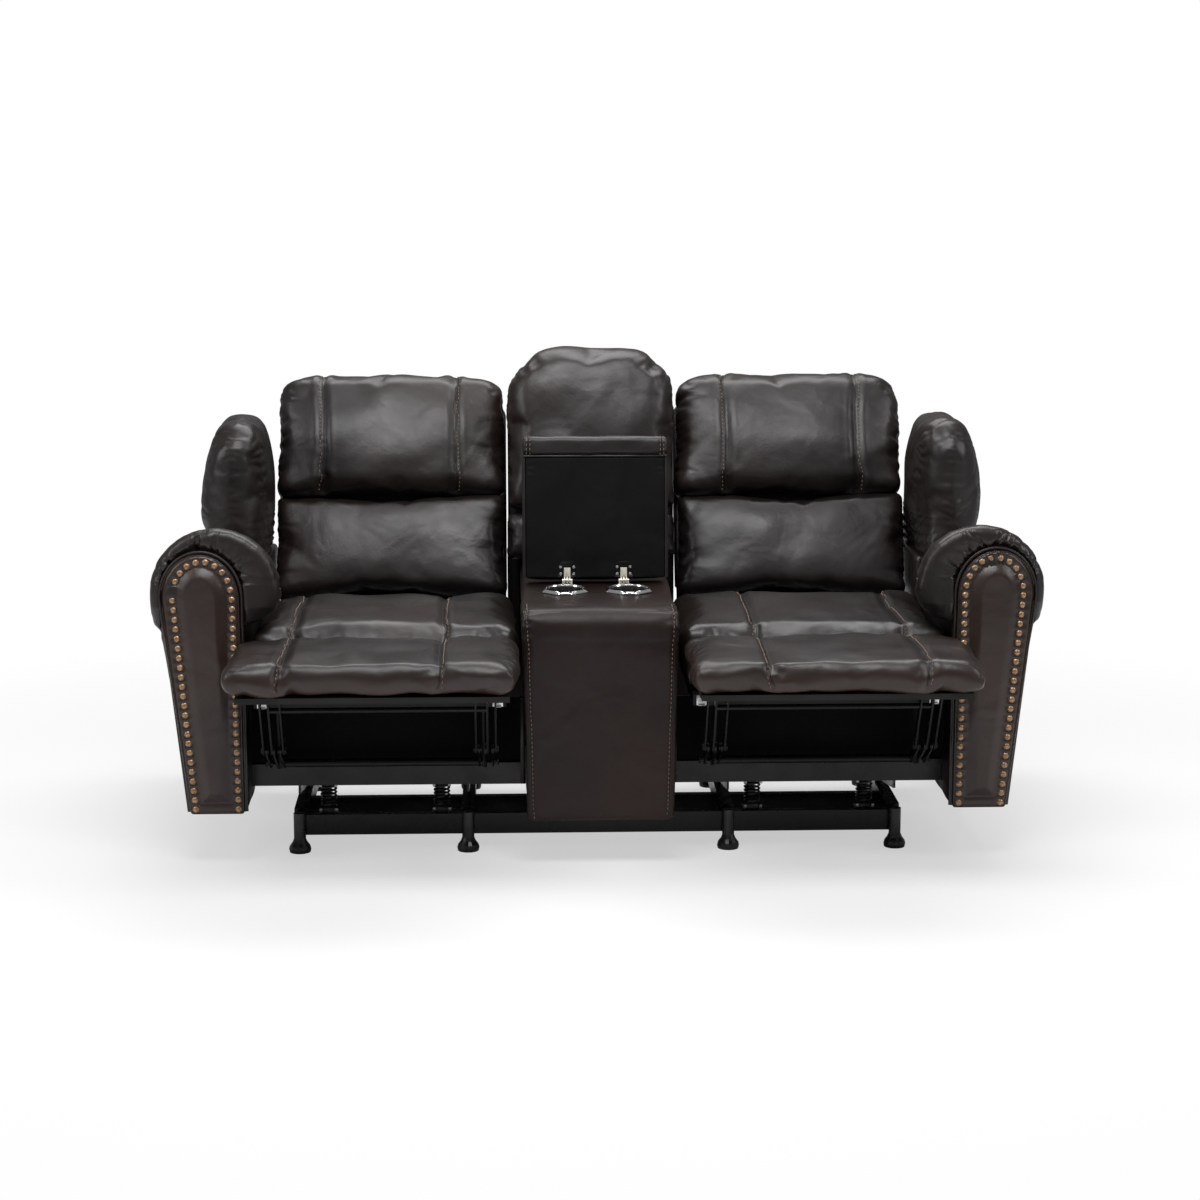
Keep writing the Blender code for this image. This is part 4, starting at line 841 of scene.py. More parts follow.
def drop(row, piece):
    """Sets each stitch of a row down onto a surface, by the height of its middle."""
    tree = surface_of(piece)
    points = coordinates(row)
    size = len(STITCH_RINGS) * STITCH_SIDES
    for start in range(0, len(points), size):
        middle = points[start : start + size].mean(axis=0)
        near, normal, _, _ = tree.find_nearest(Vector(middle))
        shift = np.array(near + normal * (STITCH_RADIUS * 0.35)) - middle
        points[start : start + size] += shift
    reshape(row, points)


def wrapped_path(low, high, x):
    """Over a lying cushion from rear to front and down its front, at one x."""
    mid_z = (low.z + high.z) / 2
    return [
        (x, high.y - 0.004, mid_z + (high.z - mid_z) * 0.4),
        (x, high.y - 0.03, high.z),
        (x, low.y + 0.035, high.z + 0.004),
        (x, low.y - 0.002, mid_z + (high.z - mid_z) * 0.3),
        (x, low.y - 0.002, low.z + 0.008),
    ]


def cushion_seams(piece, side, sign, part, low, high):
    """The two seams that run over a lying cushion from its rear to its front."""
    for place, x, out in (("inner", SEAT_SEAM_INNER_X, -sign), ("outer", SEAT_SEAM_OUTER_X, sign)):
        rough = wrapped_path(low, high, sign * x)
        seam_line(piece, rough, f"{side}_{part}_{place}_seam", f"{side}_{part}", side=-out)


def seat_cushion(side, sign):
    node = f"{side}_seat_cushion"
    low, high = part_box(node)
    piece = cover(node, f"{side}_seat_cover")
    ripple(piece, 0.16, 0.0034, 11 + int(sign))
    rims = {}
    for end, out in (("inner", -sign), ("outer", sign)):
        rims[end] = edge_line(piece, (0, 1, 0), (out, 0, 0), low.y + 0.02, high.y - 0.03)
        rims[end][:, 2] += 0.012
    gather(piece, rims["inner"], 34, 0.055, 0.0045, 0.0042, 21 + int(sign), 0.3)
    gather(piece, rims["outer"], 22, 0.060, 0.0060, 0.0036, 31 + int(sign), 0.4)
    middle = abs(low.x + high.x) / 2
    ends = (middle - SEAT_GATHER_REACH, middle + SEAT_GATHER_REACH)
    front = edge_line(piece, (sign, 0, 0), (0, -1, 0.6), *ends)
    gather(piece, front, 26, 0.050, 0.0075, 0.0022, 41 + int(sign), 0.5)
    cushion_seams(piece, side, sign, "seat", low, high)
    finished(piece, LEATHER, f"{side}_seat")
    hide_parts(node)


def footrest_pad(side, sign):
    node = f"{side}_footrest_pad"
    low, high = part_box(node)
    piece = cover(node, f"{side}_footrest_cover", grid=0.006)
    ripple(piece, 0.14, 0.0028, 51 + int(sign))
    for out, count in ((-sign, 26), (sign, 20)):
        rim = edge_line(piece, (0, 1, 0), (out, 0, 0), low.y + 0.012, high.y - 0.012)
        gather(piece, rim, count, 0.060, 0.0050, 0.0040, 61 + int(out) + 3 * int(sign), 0.4)
    middle = abs(low.x + high.x) / 2
    ends = (middle - FOOT_GATHER_REACH, middle + FOOT_GATHER_REACH)
    rear = edge_line(piece, (sign, 0, 0), (0, 1, 0.4), *ends)
    gather(piece, rear, 18, 0.070, 0.0080, 0.0022, 71 + int(sign), 0.6)
    cushion_seams(piece, side, sign, "footrest", low, high)
    finished(piece, FOOTREST_LEATHER, f"{side}_footrest")
    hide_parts(node)


def upright(tilt):
    """The up and forward directions of a part that leans back."""
    return Vector((0, math.sin(tilt), math.cos(tilt))), Vector((0, -math.cos(tilt), math.sin(tilt)))


def span(node, way):
    """How low and how high a node reaches along a direction."""
    heights = coordinates(frame["nodes"][node]) @ np.array(way)
    return heights.min(), heights.max()


def back_pillow(node, name, body, tilt, seed, wider, count=20, reach=0.075):
    """An upright pillow with folds that run in from both side seams."""
    depth = 0.0045
    up, forward = upright(tilt)
    piece = cover(node, name, wider=wider)
    ripple(piece, 0.17, 0.0026, seed)
    low, high = span(node, up)
    for out in (-1, 1):
        rim = edge_line(piece, up, (out, 0, 0), low + 0.02, high - 0.02)
        gather(piece, rim, count, reach, 0.0060, depth, seed + 5 * out, 0.5)
        gather(piece, rim, 5, reach * 1.8, 0.0150, depth * 1.2, seed + 7 * out, 0.7)
    finished(piece, LEATHER, body)
    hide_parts(node)
    return piece, up, forward, low, high


def seat_back(side, sign):
    body = f"{side}_back"
    node = f"{side}_lumbar_pillow"
    wider = (0.0040, 0.0035) if sign < 0 else (0.0035, 0.0040)
    back_pillow(node, f"{side}_lumbar_cover", body, BACK_TILT, 80 + int(sign), wider, count=16)
    node = f"{side}_head_pillow"
    wider = (0.0040, 0.0030) if sign < 0 else (0.0030, 0.0040)
    pillow = back_pillow(node, f"{side}_head_cover", body, BACK_TILT, 90 + int(sign), wider)
    piece, up, forward, low, high = pillow
    box_low, box_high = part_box(node)
    centre = (box_low + box_high) / 2
    ahead = forward * 0.09
    heights = ((low - 0.004, 0.3), (low + 0.03, 1.0), (high - 0.03, 1.0), (high + 0.004, 0.35), (high, -0.5))
    for place, x, out in (("inner", HEAD_SEAM_INNER_X, -sign), ("outer", HEAD_SEAM_OUTER_X, sign)):
        rough = []
        for height, depth in heights:
            point = centre + up * (height - centre.dot(up)) + ahead * depth
            rough.append((sign * x, point.y, point.z))
        seam_line(piece, rough, f"{side}_head_{place}_seam", body, side=out)


def lean_on_pillows(points, foot_z):
    """Widens a wing's inner side, level by level, until it reaches the pillows of the back."""
    reach = np.abs(points[:, 0])
    levels = np.clip(((points[:, 2] - foot_z) / WING_LEVEL).astype(int), 0, WING_LEVELS - 1)
    least = np.full(WING_LEVELS, 0.721)
    for level in np.unique(levels):
        least[level] = reach[levels == level].min()
    widening = (WING_MIDDLE_X - WING_INNER_X) / np.maximum(WING_MIDDLE_X - least[levels], 0.02)
    lower = np.clip((WING_WIDE_Z - points[:, 2]) / 0.06, 0, 1) * (reach < WING_MIDDLE_X)
    wider = WING_MIDDLE_X - (WING_MIDDLE_X - reach) * (1 + (widening - 1) * lower)
    points[:, 0] = np.sign(points[:, 0]) * np.where(reach < WING_MIDDLE_X, wider, reach)


def settle_on_roll(points, foot_z):
    """Lets a wing's foot down onto the round of the arm."""
    reach = np.abs(points[:, 0])
    inwards = np.clip(1 - ((ROLL_MIDDLE_X - reach) / ROLL_HALF_WIDTH) ** 2, 0, 1)
    clear = foot_z - ROLL_SIDE_Z - ROLL_HEIGHT * np.sqrt(inwards)
    near_foot = np.clip(1 - (points[:, 2] - foot_z) / 0.05, 0, 1)
    points[:, 2] -= np.clip(clear - 0.002, 0, 0.060) * near_foot * (reach < ROLL_MIDDLE_X)


def wing_pillow(side, sign):
    node = f"{side}_wing"
    low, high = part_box(node)
    piece = cover(node, f"{side}_wing_cover")
    points = coordinates(piece)
    lean_on_pillows(points, low.z)
    settle_on_roll(points, low.z)
    reshape(piece, points)
    ripple(piece, 0.17, 0.0026, 101 + int(sign))
    for out, count in ((-1, 16), (1, 18)):
        rim = edge_line(piece, (0, 0, 1), (0, out, 0), low.z + 0.02, high.z - 0.02)
        gather(piece, rim, count, 0.045, 0.0060, 0.0030, 111 + int(sign) + 3 * out, 0.5)
    for out in (-1, 1):
        rim = edge_line(piece, (0, 0, 1), (out, -0.3, 0), low.z + 0.02, high.z - 0.02)
        gather(piece, rim, 14, 0.055, 0.0050, 0.0040, 115 + int(sign) + 3 * out, 0.4)
    top = edge_line(piece, (0, 1, 0), (0, 0, 1), low.y + 0.04, high.y - 0.04)
    gather(piece, top, 9, 0.060, 0.0070, 0.0035, 121 + int(sign), 0.4)
    finished(piece, LEATHER, "frame")
    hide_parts(node)


def console_back():
    for place, count, seed, more in (("upper", 18, 131, 0.0035), ("lower", 6, 141, 0.0060)):
        node, name = f"console_back_{place}_pillow", f"console_back_{place}_cover"
        back_pillow(node, name, "frame", CONSOLE_BACK_TILT, seed, (more, more), count, 0.06)


# Arms


def arch(inset=0.0, forward=0.0, foot=0.0, side=1.0, outer_inset=None):
    """The panel's outline from its inner foot over the arch to its outer foot, moved inwards by the inset."""
    low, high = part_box("right_arm_panel")
    roll_z = ARM_ROLL_Z
    inner, outer = low.x + inset, high.x - (inset if outer_inset is None else outer_inset)
    middle, half = (inner + outer) / 2, (outer - inner) / 2
    top = high.z - inset
    points = [(inner, low.z + foot)]
    for i in range(25):
        angle = math.pi * (1 - i / 24)
        points.append((middle + half * math.cos(angle), roll_z + (top - roll_z) * math.sin(angle)))
    points.append((PANEL_FOOT_X - inset, low.z + foot))
    return np.array([(side * x, behind(-forward), z) for x, z in points])


def nail_path(sign):
    """The line of the nails: well inside the arch, closer to the edges at the foot."""
    line = arch(NAIL_INSET, PANEL_FRONT, NAIL_FOOT_INSET, sign, NAIL_OUTER_INSET)
    line[0] += (-sign * NAIL_FOOT_SHIFT, 0.0, 0.0)
    line[-1] = (sign * (PANEL_FOOT_X - NAIL_FOOT_INSET), line[-1][1], line[-1][2])
    return line


def arm_cover(side, sign):
    """The stuffed roll and the wall of the arm, gathered round the front panel."""
    node = f"{side}_arm"
    piece = cover(node, f"{side}_arm_cover", grid=0.008, swells=False, inset=0.0)
    with editing_some(piece, "FACE", "polygons", lambda f: f.center.y < behind(0.030) and f.center.z > 0.470):
        bpy.ops.mesh.subdivide(number_cuts=1)
    points = coordinates(piece)
    ring = arch(0.0, 0.0, 0.0, sign)
    _, away, _ = beside(points, ring)
    panel_low, panel_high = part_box("right_arm_panel")
    reach = np.abs(points[:, 0])
    outside = (reach < panel_low.x) | (reach > panel_high.x) | (points[:, 2] > ARM_ROLL_Z)
    high = np.clip((points[:, 2] - 0.505) / 0.05, 0, 1)
    near_front = np.clip(1 - (points[:, 1] - behind(0.0)) / 0.040, 0, 1) ** 0.7
    rounded = np.sin(np.clip((away + 0.004) / 0.019, 0, 1) * math.pi / 2)
    swelling = ROLL_SWELL * rounded * high * outside * near_front
    points[:, 1] -= swelling
    points[:, 2] += swelling * 0.35 * (points[:, 2] > ARM_ROLL_Z)
    share = swelling / ROLL_SWELL * np.clip(1 - away / 0.040, 0, 1)
    outer_side = np.clip((reach - (panel_low.x + panel_high.x) / 2) / 0.05, 0, 1)
    points[:, 0] -= sign * share * ROLL_OVERHANG * outer_side
    reshape(piece, points)
    ripple(piece, 0.17, 0.0020, 151 + int(sign))
    start = arch(-0.002, ROLL_SWELL, 0.0, sign, 0.006)[3:-3]
    gather(piece, start, 34, 0.045, 0.0027, 0.0034, 161 + int(sign), 0.35)
    gather(piece, start, 18, 0.080, 0.0046, 0.0078, 171 + int(sign), 0.45)
    roll_inner = []
    for depth in (0.02, 0.12, 0.24, 0.34):
        roll_inner.append((sign * ARM_SEAM_X, behind(depth), ARM_SEAM_Z - ARM_SEAM_FALL * depth))
    seam_line(piece, roll_inner, f"{side}_arm_roll_seam", "frame")
    tuck = [
        (sign * 0.925, behind(0.016), 0.500),
        (sign * 0.930, behind(0.12), 0.485),
        (sign * 0.915, behind(0.24), 0.440),
        (sign * 0.905, behind(0.36), 0.400),
        (sign * 0.905, behind(0.78), 0.398),
    ]
    seam_line(piece, tuck, f"{side}_arm_tuck_seam", "frame", stitched=False)
    finished(piece, LEATHER, "frame")
    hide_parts(node)


def arm_panel(side, sign):
    """The padded front panel: its rim rounds back, its border is nailed, and its middle is crowned."""
    node = f"{side}_arm_panel"
    piece = cover(node, f"{side}_arm_panel_cover", grid=0.0042, swells=False, inset=0.0)
    outline = arch(0.0, PANEL_FRONT, 0.0, sign, 0.006)
    points = coordinates(piece)
    face = points[:, 1] < behind(-PANEL_FRONT + 0.004)
    _, away, _ = beside(points, np.vstack([outline, outline[:1]]))
    rise = np.clip((away - PANEL_BORDER) / 0.026, 0, 1)
    rise = rise * rise * (3 - 2 * rise)
    dip = np.exp(-(((away - PANEL_BORDER) / 0.006) ** 2))
    rim = np.clip(1 - away / PANEL_RIM, 0, 1) ** 2
    rim = np.where(np.abs(points[:, 0]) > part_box("right_arm_panel")[1].x - 0.006, 1.0, rim)
    points[:, 1] -= face * (PANEL_CROWN * rise - 0.0022 * dip - 0.0085 * rim)
    nail_line = evenly(nail_path(sign), 0.002)
    places = evenly(nail_line, NAIL_PITCH)
    tree = KDTree(len(places))
    for i, place in enumerate(places):
        tree.insert(place, i)
    tree.balance()
    near = np.array([tree.find(p)[2] for p in points])
    points[:, 1] += face * 0.0034 * np.exp(-((near / 0.0102) ** 2))
    reshape(piece, points)
    finished(piece, PANEL_LEATHER, "frame")
    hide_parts(node)
    nail_heads(side, places, piece)
    # The recess cord is in darker leather: painted shade in the recess round the panel; the ring is a real welt.
    for name, inset, forward, foot, radius, material in (
        ("recess", -0.0012, 0.0040, 0.004, 0.0042, GROOVE_SHADE_LEATHER),
        ("ring", -RING_GAP, 0.0165, 0.004, WELT_RADIUS, LEATHER),
    ):
        path = evenly(arch(inset, forward, foot, sign, inset + 0.007), 0.006)
        low_part = np.clip((0.520 - path[:, 2]) / 0.06, 0, 1)
        path[:, 1] += low_part * (forward - 0.004)
        finished(tube(f"{side}_panel_{name}", path, radius, sides=12), material, "frame")


def nail_heads(side, places, panel):
    """Domed decorative nails, all in one piece."""
    tree = surface_of(panel)
    bpy.ops.object.select_all(action="DESELECT")
    bpy.ops.mesh.primitive_uv_sphere_add(segments=12, ring_count=8, radius=NAIL_RADIUS, location=(0, 0, 0))
    pattern = bpy.context.object
    with editing(pattern):
        bpy.ops.mesh.bisect(plane_co=(0, 0, 0), plane_no=(0, 1, 0), clear_outer=True, use_fill=True)
    shape = coordinates(pattern)
    shape[:, 1] *= NAIL_HEIGHT / NAIL_RADIUS
    loops = [tuple(p.vertices) for p in pattern.data.polygons]
    bpy.data.objects.remove(pattern)
    draw = random.Random(7)
    verts, faces = [], []
    for place in places:
        starts = [Vector((place[0] + dx, behind(-0.2), place[2])) for dx in (0, 0.0005)]
        hits = [tree.ray_cast(start, Vector((0, 1, 0)))[0] for start in starts]
        depth = min([hit.y for hit in hits if hit is not None], default=place[1])
        tilts = [Matrix.Rotation(draw.uniform(-NAIL_TILT, NAIL_TILT), 3, axis) for axis in "XZ"]
        turn = tilts[0] @ tilts[1]
        base = len(verts)
        for p in shape:
            turned = turn @ Vector(p)
            verts.append((place[0] + turned.x, depth + 0.0006 + turned.y, place[2] + turned.z))
        faces += [tuple(base + i for i in loop) for loop in loops]
    piece = new_piece(f"{side}_arm_nails", verts, faces)
    outward(piece)
    finished(piece, BRONZE, "frame", angle=60)


# Console


def block(name, low, high, edge=0.006, segments=4):
    """A box with rounded edges."""
    bpy.ops.object.select_all(action="DESELECT")
    middle = [(a + b) / 2 for a, b in zip(low, high)]
    bpy.ops.mesh.primitive_cube_add(size=1.0, location=middle)
    piece = bpy.context.object
    piece.name = piece.data.name = name
    piece.scale = [b - a for a, b in zip(low, high)]
    settle(piece)
    return softened(piece, edge, segments) if edge else piece


def slab(name, across, depths, heights, edge, segments):
    """A block given by its reach across, its depths behind the front of the arms, and its heights."""
    low, high = zip(sorted(across), map(behind, depths), heights)
    return block(name, low, high, edge, segments)


def bevelled(piece, chosen, offset, segments):
    """Bevels the edges whose two ends the given test accepts."""

    def accepted(edge):
        return chosen(*(piece.data.vertices[i].co for i in edge.vertices))

    with editing_some(piece, "EDGE", "edges", accepted):
        bpy.ops.mesh.bevel(offset=offset, segments=segments)


def fused(piece, other, operation="UNION"):
    """Joins two forms into one skin."""
    modified(piece, "BOOLEAN", operation=operation, solver="EXACT", object=other)
    bpy.data.objects.remove(other)
    return piece


def cut_out(piece, tool):
    return fused(piece, tool, "DIFFERENCE")


def pin(name, place, radius, length, axis="X", steps=24):
    """A round bar centred on a place."""
    bpy.ops.object.select_all(action="DESELECT")
    turns = {"X": (0, math.pi / 2, 0), "Y": (math.pi / 2, 0, 0), "Z": (0, 0, 0)}
    bpy.ops.mesh.primitive_cylinder_add(
        vertices=steps, radius=radius, depth=length, location=place, rotation=turns[axis]
    )
    piece = bpy.context.object
    piece.name = piece.data.name = name
    settle(piece)
    return piece


def cup_middle(side):
    """The middle of a cup holder and the height of its rim."""
    low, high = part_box(f"{side}_cup_holder")
    return (low + high) / 2, high.z


def console_seam(body, side, sign, low, high):
    """The gathers at one upper front corner of the console, and the seam that runs down beside them."""
    edge_x, deck = sign * high.x, DECK_Z
    corner = [
        (edge_x, low.y + 0.006, deck - 0.075),
        (edge_x, low.y + 0.012, deck - 0.02),
        (edge_x, low.y + 0.05, deck),
    ]
    gather(body, corner, 8, 0.050, 0.0058, 0.0046, 185 + int(sign), 0.5)
    front = [
        (edge_x * 0.975, low.y + 0.09, deck + 0.002),
        (edge_x * 0.972, low.y + 0.030, deck + 0.001),
        (edge_x * 0.968, low.y + 0.004, deck - 0.030),
        (edge_x * 0.955, low.y, deck - 0.075),
        (edge_x * 0.955 * (1 - CONSOLE_NARROWING * 0.98), low.y, low.z + 0.008),
    ]
    line, _ = laid_on(body, front)
    sewn(body, line, 0.005, 0.0022)
    line, out = laid_on(body, line)
    # The fold cord is darker than the cover: painted shade in the seam's groove.
    fold = tube(f"console_{side}_fold", line + out * 0.0002, FOLD_RADIUS)
    finished(fold, GROOVE_SHADE_LEATHER, "frame")
    row = stitches(f"console_{side}_stitches", line, out, offset=sign * CONSOLE_SEAM_OFFSET)
    drop(row, body)
    finished(row, THREAD, "frame")


def console_cover():
    """The leather over the console box, soft over its front edge, open at the cups."""
    low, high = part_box("console_box")
    deck = DECK_Z
    body = block("console_cover", (low.x, low.y, low.z), (high.x, high.y, deck), 0.0)
    bevelled(body, lambda a, b: max(a.y, b.y) < low.y + 0.001 and min(a.z, b.z) > deck - 0.001, 0.040, 12)
    narrow = coordinates(body)
    share = (narrow[:, 2] - low.z) / (deck - low.z)
    fore_share = np.clip(1 - (narrow[:, 1] - low.y) / 0.5, 0, 1)
    narrow[:, 0] *= (1 - CONSOLE_NARROWING * (1 - share)) * (1 + CONSOLE_FLARE * fore_share)
    reshape(body, narrow)
    softened(body, 0.0075, 3, 35)
    evenly_meshed(body, 0.0055, 16)
    ripple(body, 0.26, 0.0012, 181)
    points = coordinates(body)
    top = (points[:, 2] > deck - 0.06) & (points[:, 1] < low.y + 0.08)
    crown = 0.0010 * np.clip(1 - (points[:, 0] / (high.x * 0.95)) ** 4, 0, 1) * top
    fore = points[:, 1] < low.y + 0.02
    rising = np.clip((points[:, 2] - low.z) / 0.05, 0, 1)
    crown += 0.0060 * fore * np.clip(1 - (points[:, 0] / high.x) ** 2, 0, 1) * rising
    reshape(body, points + normals(body) * crown[:, None])
    for side, sign in SIDES.items():
        console_seam(body, side, sign, low, high)
    for side in SIDES:
        middle, _ = cup_middle(side)
        well = pin("well", (middle.x, middle.y, deck - 0.030), CUP_RADIUS + 0.0016, 0.094, "Z", 48)
        cut_out(body, well)
    finished(body, CONSOLE_LEATHER, "frame", angle=50)
    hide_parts("console_box")


def turned_ring(name, profile, middle, steps=64, facets=0):
    """A shape spun about an upright axis; with facets, the flagged radii follow a regular outline."""
    verts, faces = [], []
    for radius, height, flat in profile:
        for k in range(steps):
            angle = 2 * math.pi * k / steps
            reach = radius
            if flat and facets:
                sector = 2 * math.pi / facets
                reach = radius * math.cos(sector / 2) / math.cos((angle + sector / 2) % sector - sector / 2)
                reach = radius * (1 - flat) + reach * flat
            verts.append((middle[0] + reach * math.cos(angle), middle[1] + reach * math.sin(angle), height))
    for ring in range(len(profile) - 1):
        for k in range(steps):
            a, b = ring * steps + k, ring * steps + (k + 1) % steps
            faces.append((a, b, b + steps, a + steps))
    faces.append(tuple(reversed(range(steps))))
    faces.append(tuple((len(profile) - 1) * steps + k for k in range(steps)))
    piece = new_piece(name, verts, faces)
    outward(piece)
    return piece


def cup_holder(side):
    """A polished cup under a bevelled eight-sided rim, with a thumb notch at the front."""
    middle, top = cup_middle(side)
    floor_z = DECK_Z - CUP_DEPTH
    seat = DECK_Z + 0.0004
    rise = top - seat
    rim = CUP_RIM_RADIUS
    profile = [
        (CUP_RADIUS * 0.80, floor_z, 0.0),
        (CUP_RADIUS * 0.94, floor_z, 0.0),
        (CUP_RADIUS, floor_z + 0.006, 0.0),
        (CUP_RADIUS, seat, 0.0),
        (rim * 0.99, seat, 1.0),
        (rim, seat + rise * 0.12, 1.0),
        (rim, seat + rise * 0.30, 1.0),
        (rim * 0.925, seat + rise * 0.90, 1.0),
        (rim * 0.905, seat + rise * 0.97, 0.8),
        (rim * 0.885, seat + rise, 0.35),
        (CUP_RADIUS + 0.0022, seat + rise, 0.0),
        (CUP_RADIUS + 0.0004, seat + rise * 0.92, 0.0),
        (CUP_RADIUS - 0.0008, seat + rise * 0.62, 0.0),
        (CUP_RADIUS - 0.0022, seat - 0.002, 0.0),
        (CUP_RADIUS - 0.0025, floor_z + 0.014, 0.0),
        (CUP_RADIUS - 0.0050, floor_z + 0.0065, 0.0),
        (CUP_RADIUS - 0.0110, floor_z + 0.0035, 0.0),
        (CUP_RADIUS * 0.45, floor_z + 0.003, 0.0),
    ]
    piece = turned_ring(f"{side}_cup", profile, (middle.x, middle.y), 96, 8)
    points = coordinates(piece)
    bearing = np.degrees(np.arctan2(points[:, 0] - middle.x, -(points[:, 1] - middle.y)))
    notch = np.clip(1 - (np.abs(bearing) / 20.0) ** 6, 0, 1) * (points[:, 2] > seat + rise * 0.5)
    reach = np.hypot(points[:, 0] - middle.x, points[:, 1] - middle.y)
    points[:, 2] -= 0.0042 * notch * np.clip((reach - CUP_RADIUS + 0.002) / 0.004, 0, 1)
    reshape(piece, points)
    finished(piece, CHROME, "frame", angle=28)
    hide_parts(f"{side}_cup_holder")
    liner = [
        (CUP_RADIUS - 0.0108, floor_z + 0.0045, 0.0),
        (CUP_RADIUS - 0.0062, floor_z + 0.0075, 0.0),
        (CUP_RADIUS - 0.0034, floor_z + 0.016, 0.0),
        (CUP_RADIUS - 0.0027, seat - 0.002, 0.0),
        (CUP_RADIUS - 0.0016, seat + rise * 0.55, 0.0),
        (CUP_RADIUS - 0.0026, seat + rise * 0.62, 0.0),
        (CUP_RADIUS - 0.0040, seat - 0.002, 0.0),
        (CUP_RADIUS - 0.0048, floor_z + 0.017, 0.0),
        (CUP_RADIUS - 0.0120, floor_z + 0.0075, 0.0),
        (CUP_RADIUS * 0.3, floor_z + 0.0060, 0.0),
    ]
    piece = turned_ring(f"{side}_cup_liner", liner, (middle.x, middle.y), 64)
    finished(piece, PLASTIC, "frame", angle=40)


LID_AXIS = Vector(JOINTS["lid_hinge"]["pos_m"])
LID_FRAME = tilted(LID_AXIS, LID_LEAN)


def on_lid(x, proud, z):
    """A place on the open lid: across, in front of its face, and up from the hinge."""
    return LID_FRAME @ Vector((x, LID_FACE - proud, z))


def lid_shell():
    """The lid's padded leather back and sides."""
    shell = cover("console_lid", "lid_shell", grid=0.006, swells=False, inset=0.0)
    ripple(shell, 0.15, 0.0012, 191)
    up, _ = upright(LID_LEAN)
    low, high = span("console_lid", up)
    for out in (-1, 1):
        rim = edge_line(shell, up, (out, 0, 0), low + 0.01, high - 0.01)
        gather(shell, rim, 12, 0.035, 0.0045, 0.0022, 193 + out, 0.4)
    finished(shell, LEATHER, "lid")
    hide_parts("console_lid")


def lid_lining():
    """The dark panel on the lid's inner side."""
    half = LID_HALF_WIDTH
    low = (-half + 0.007, LID_FACE - 0.0030, 0.004)
    high = (half - 0.007, LID_FACE + 0.004, LID_STRIP_LOW)
    lining = block("lid_lining_panel", low, high, 0.0025, 3)
    evenly_meshed(lining, 0.003, 4)
    moved(lining, LID_FRAME)
    for out in (-1, 1):
        corner = [on_lid(out * (half - 0.008), 0.003, LID_STRIP_LOW - down) for down in (0.035, 0.004)]
        gather(lining, corner, 4, 0.030, 0.0030, 0.0018, 197 + out, 0.6)
    finished(lining, LINING, "lid", angle=50)


def lid_strip():
    """The rolled strip along the lid's free edge, sewn near both ends, and the piping round the lining."""
    half = LID_HALF_WIDTH
    low = (-half, LID_FACE - LID_STRIP_RISE, LID_STRIP_LOW + 0.002)
    high = (half, LID_FACE + 0.012, LID_STRIP_HIGH)
    strip = block("lid_roll_strip", low, high, 0.011, 5)
    evenly_meshed(strip, 0.0035, 8)
    moved(strip, LID_FRAME)
    ripple(strip, 0.09, 0.0010, 199)
    for side, out in SIDES.items():
        rough = []
        for share, z in (
            (0.3, LID_STRIP_LOW + 0.003),
            (1.1, LID_STRIP_LOW + 0.012),
            (1.1, LID_STRIP_HIGH - 0.012),
            (0.2, LID_STRIP_HIGH),
        ):
            rough.append(on_lid(out * (half - 0.014), LID_STRIP_RISE * share, z))
        line, _ = laid_on(strip, rough)
        sewn(strip, line, 0.004, 0.0018)
        gather(strip, line, 6, 0.022, 0.0030, 0.0012, 203 + int(out), 0.3)
        line, normal = laid_on(strip, line)
        # The fold cord is darker than the cover: painted shade in the seam's groove.
        fold = tube(f"lid_{side}_strip_fold", line + normal * 0.0002, FOLD_RADIUS * 0.9)
        finished(fold, GROOVE_SHADE_LEATHER, "lid")
        for number, offset in enumerate((-0.0042, 0.0042)):
            row = stitches(f"lid_{side}_stitches_{number}", line, normal, offset=offset)
            drop(row, strip)
            finished(row, THREAD, "lid")
        heights = np.linspace(0.006, LID_STRIP_LOW + 0.004, 40)
        path = [on_lid(out * (half - 0.004), 0.0005, z) for z in heights]
        finished(tube(f"lid_{side}_piping", path, 0.0038, sides=12), LEATHER, "lid")
    places = np.linspace(-half + 0.004, half - 0.004, 60)
    path = [on_lid(x, 0.0035, LID_STRIP_LOW + 0.0005) for x in places]
    finished(tube("lid_cross_piping", path, 0.0030, sides=12), LEATHER, "lid")
    finished(strip, LEATHER, "lid")


def lid():
    """The open lid, its lining and its strip, and the two hinges."""
    lid_shell()
    lid_lining()
    lid_strip()
    for side, sign in SIDES.items():
        lid_hinge(side, sign)


def hinge_plate(name, x, half, front, back, top, material):
    """A plate on the lid's lining, its upper corners cut off."""
    plate = block(name, (x - half, front, 0.0065), (x + half, back, top), 0.0)
    bevelled(plate, lambda a, b: min(a.z, b.z) > top - 0.001 and abs(a.y - b.y) > 0.0005, 0.0095, 1)
    softened(plate, 0.0003, 2)
    moved(plate, LID_FRAME)
    finished(plate, material, "lid", angle=30)


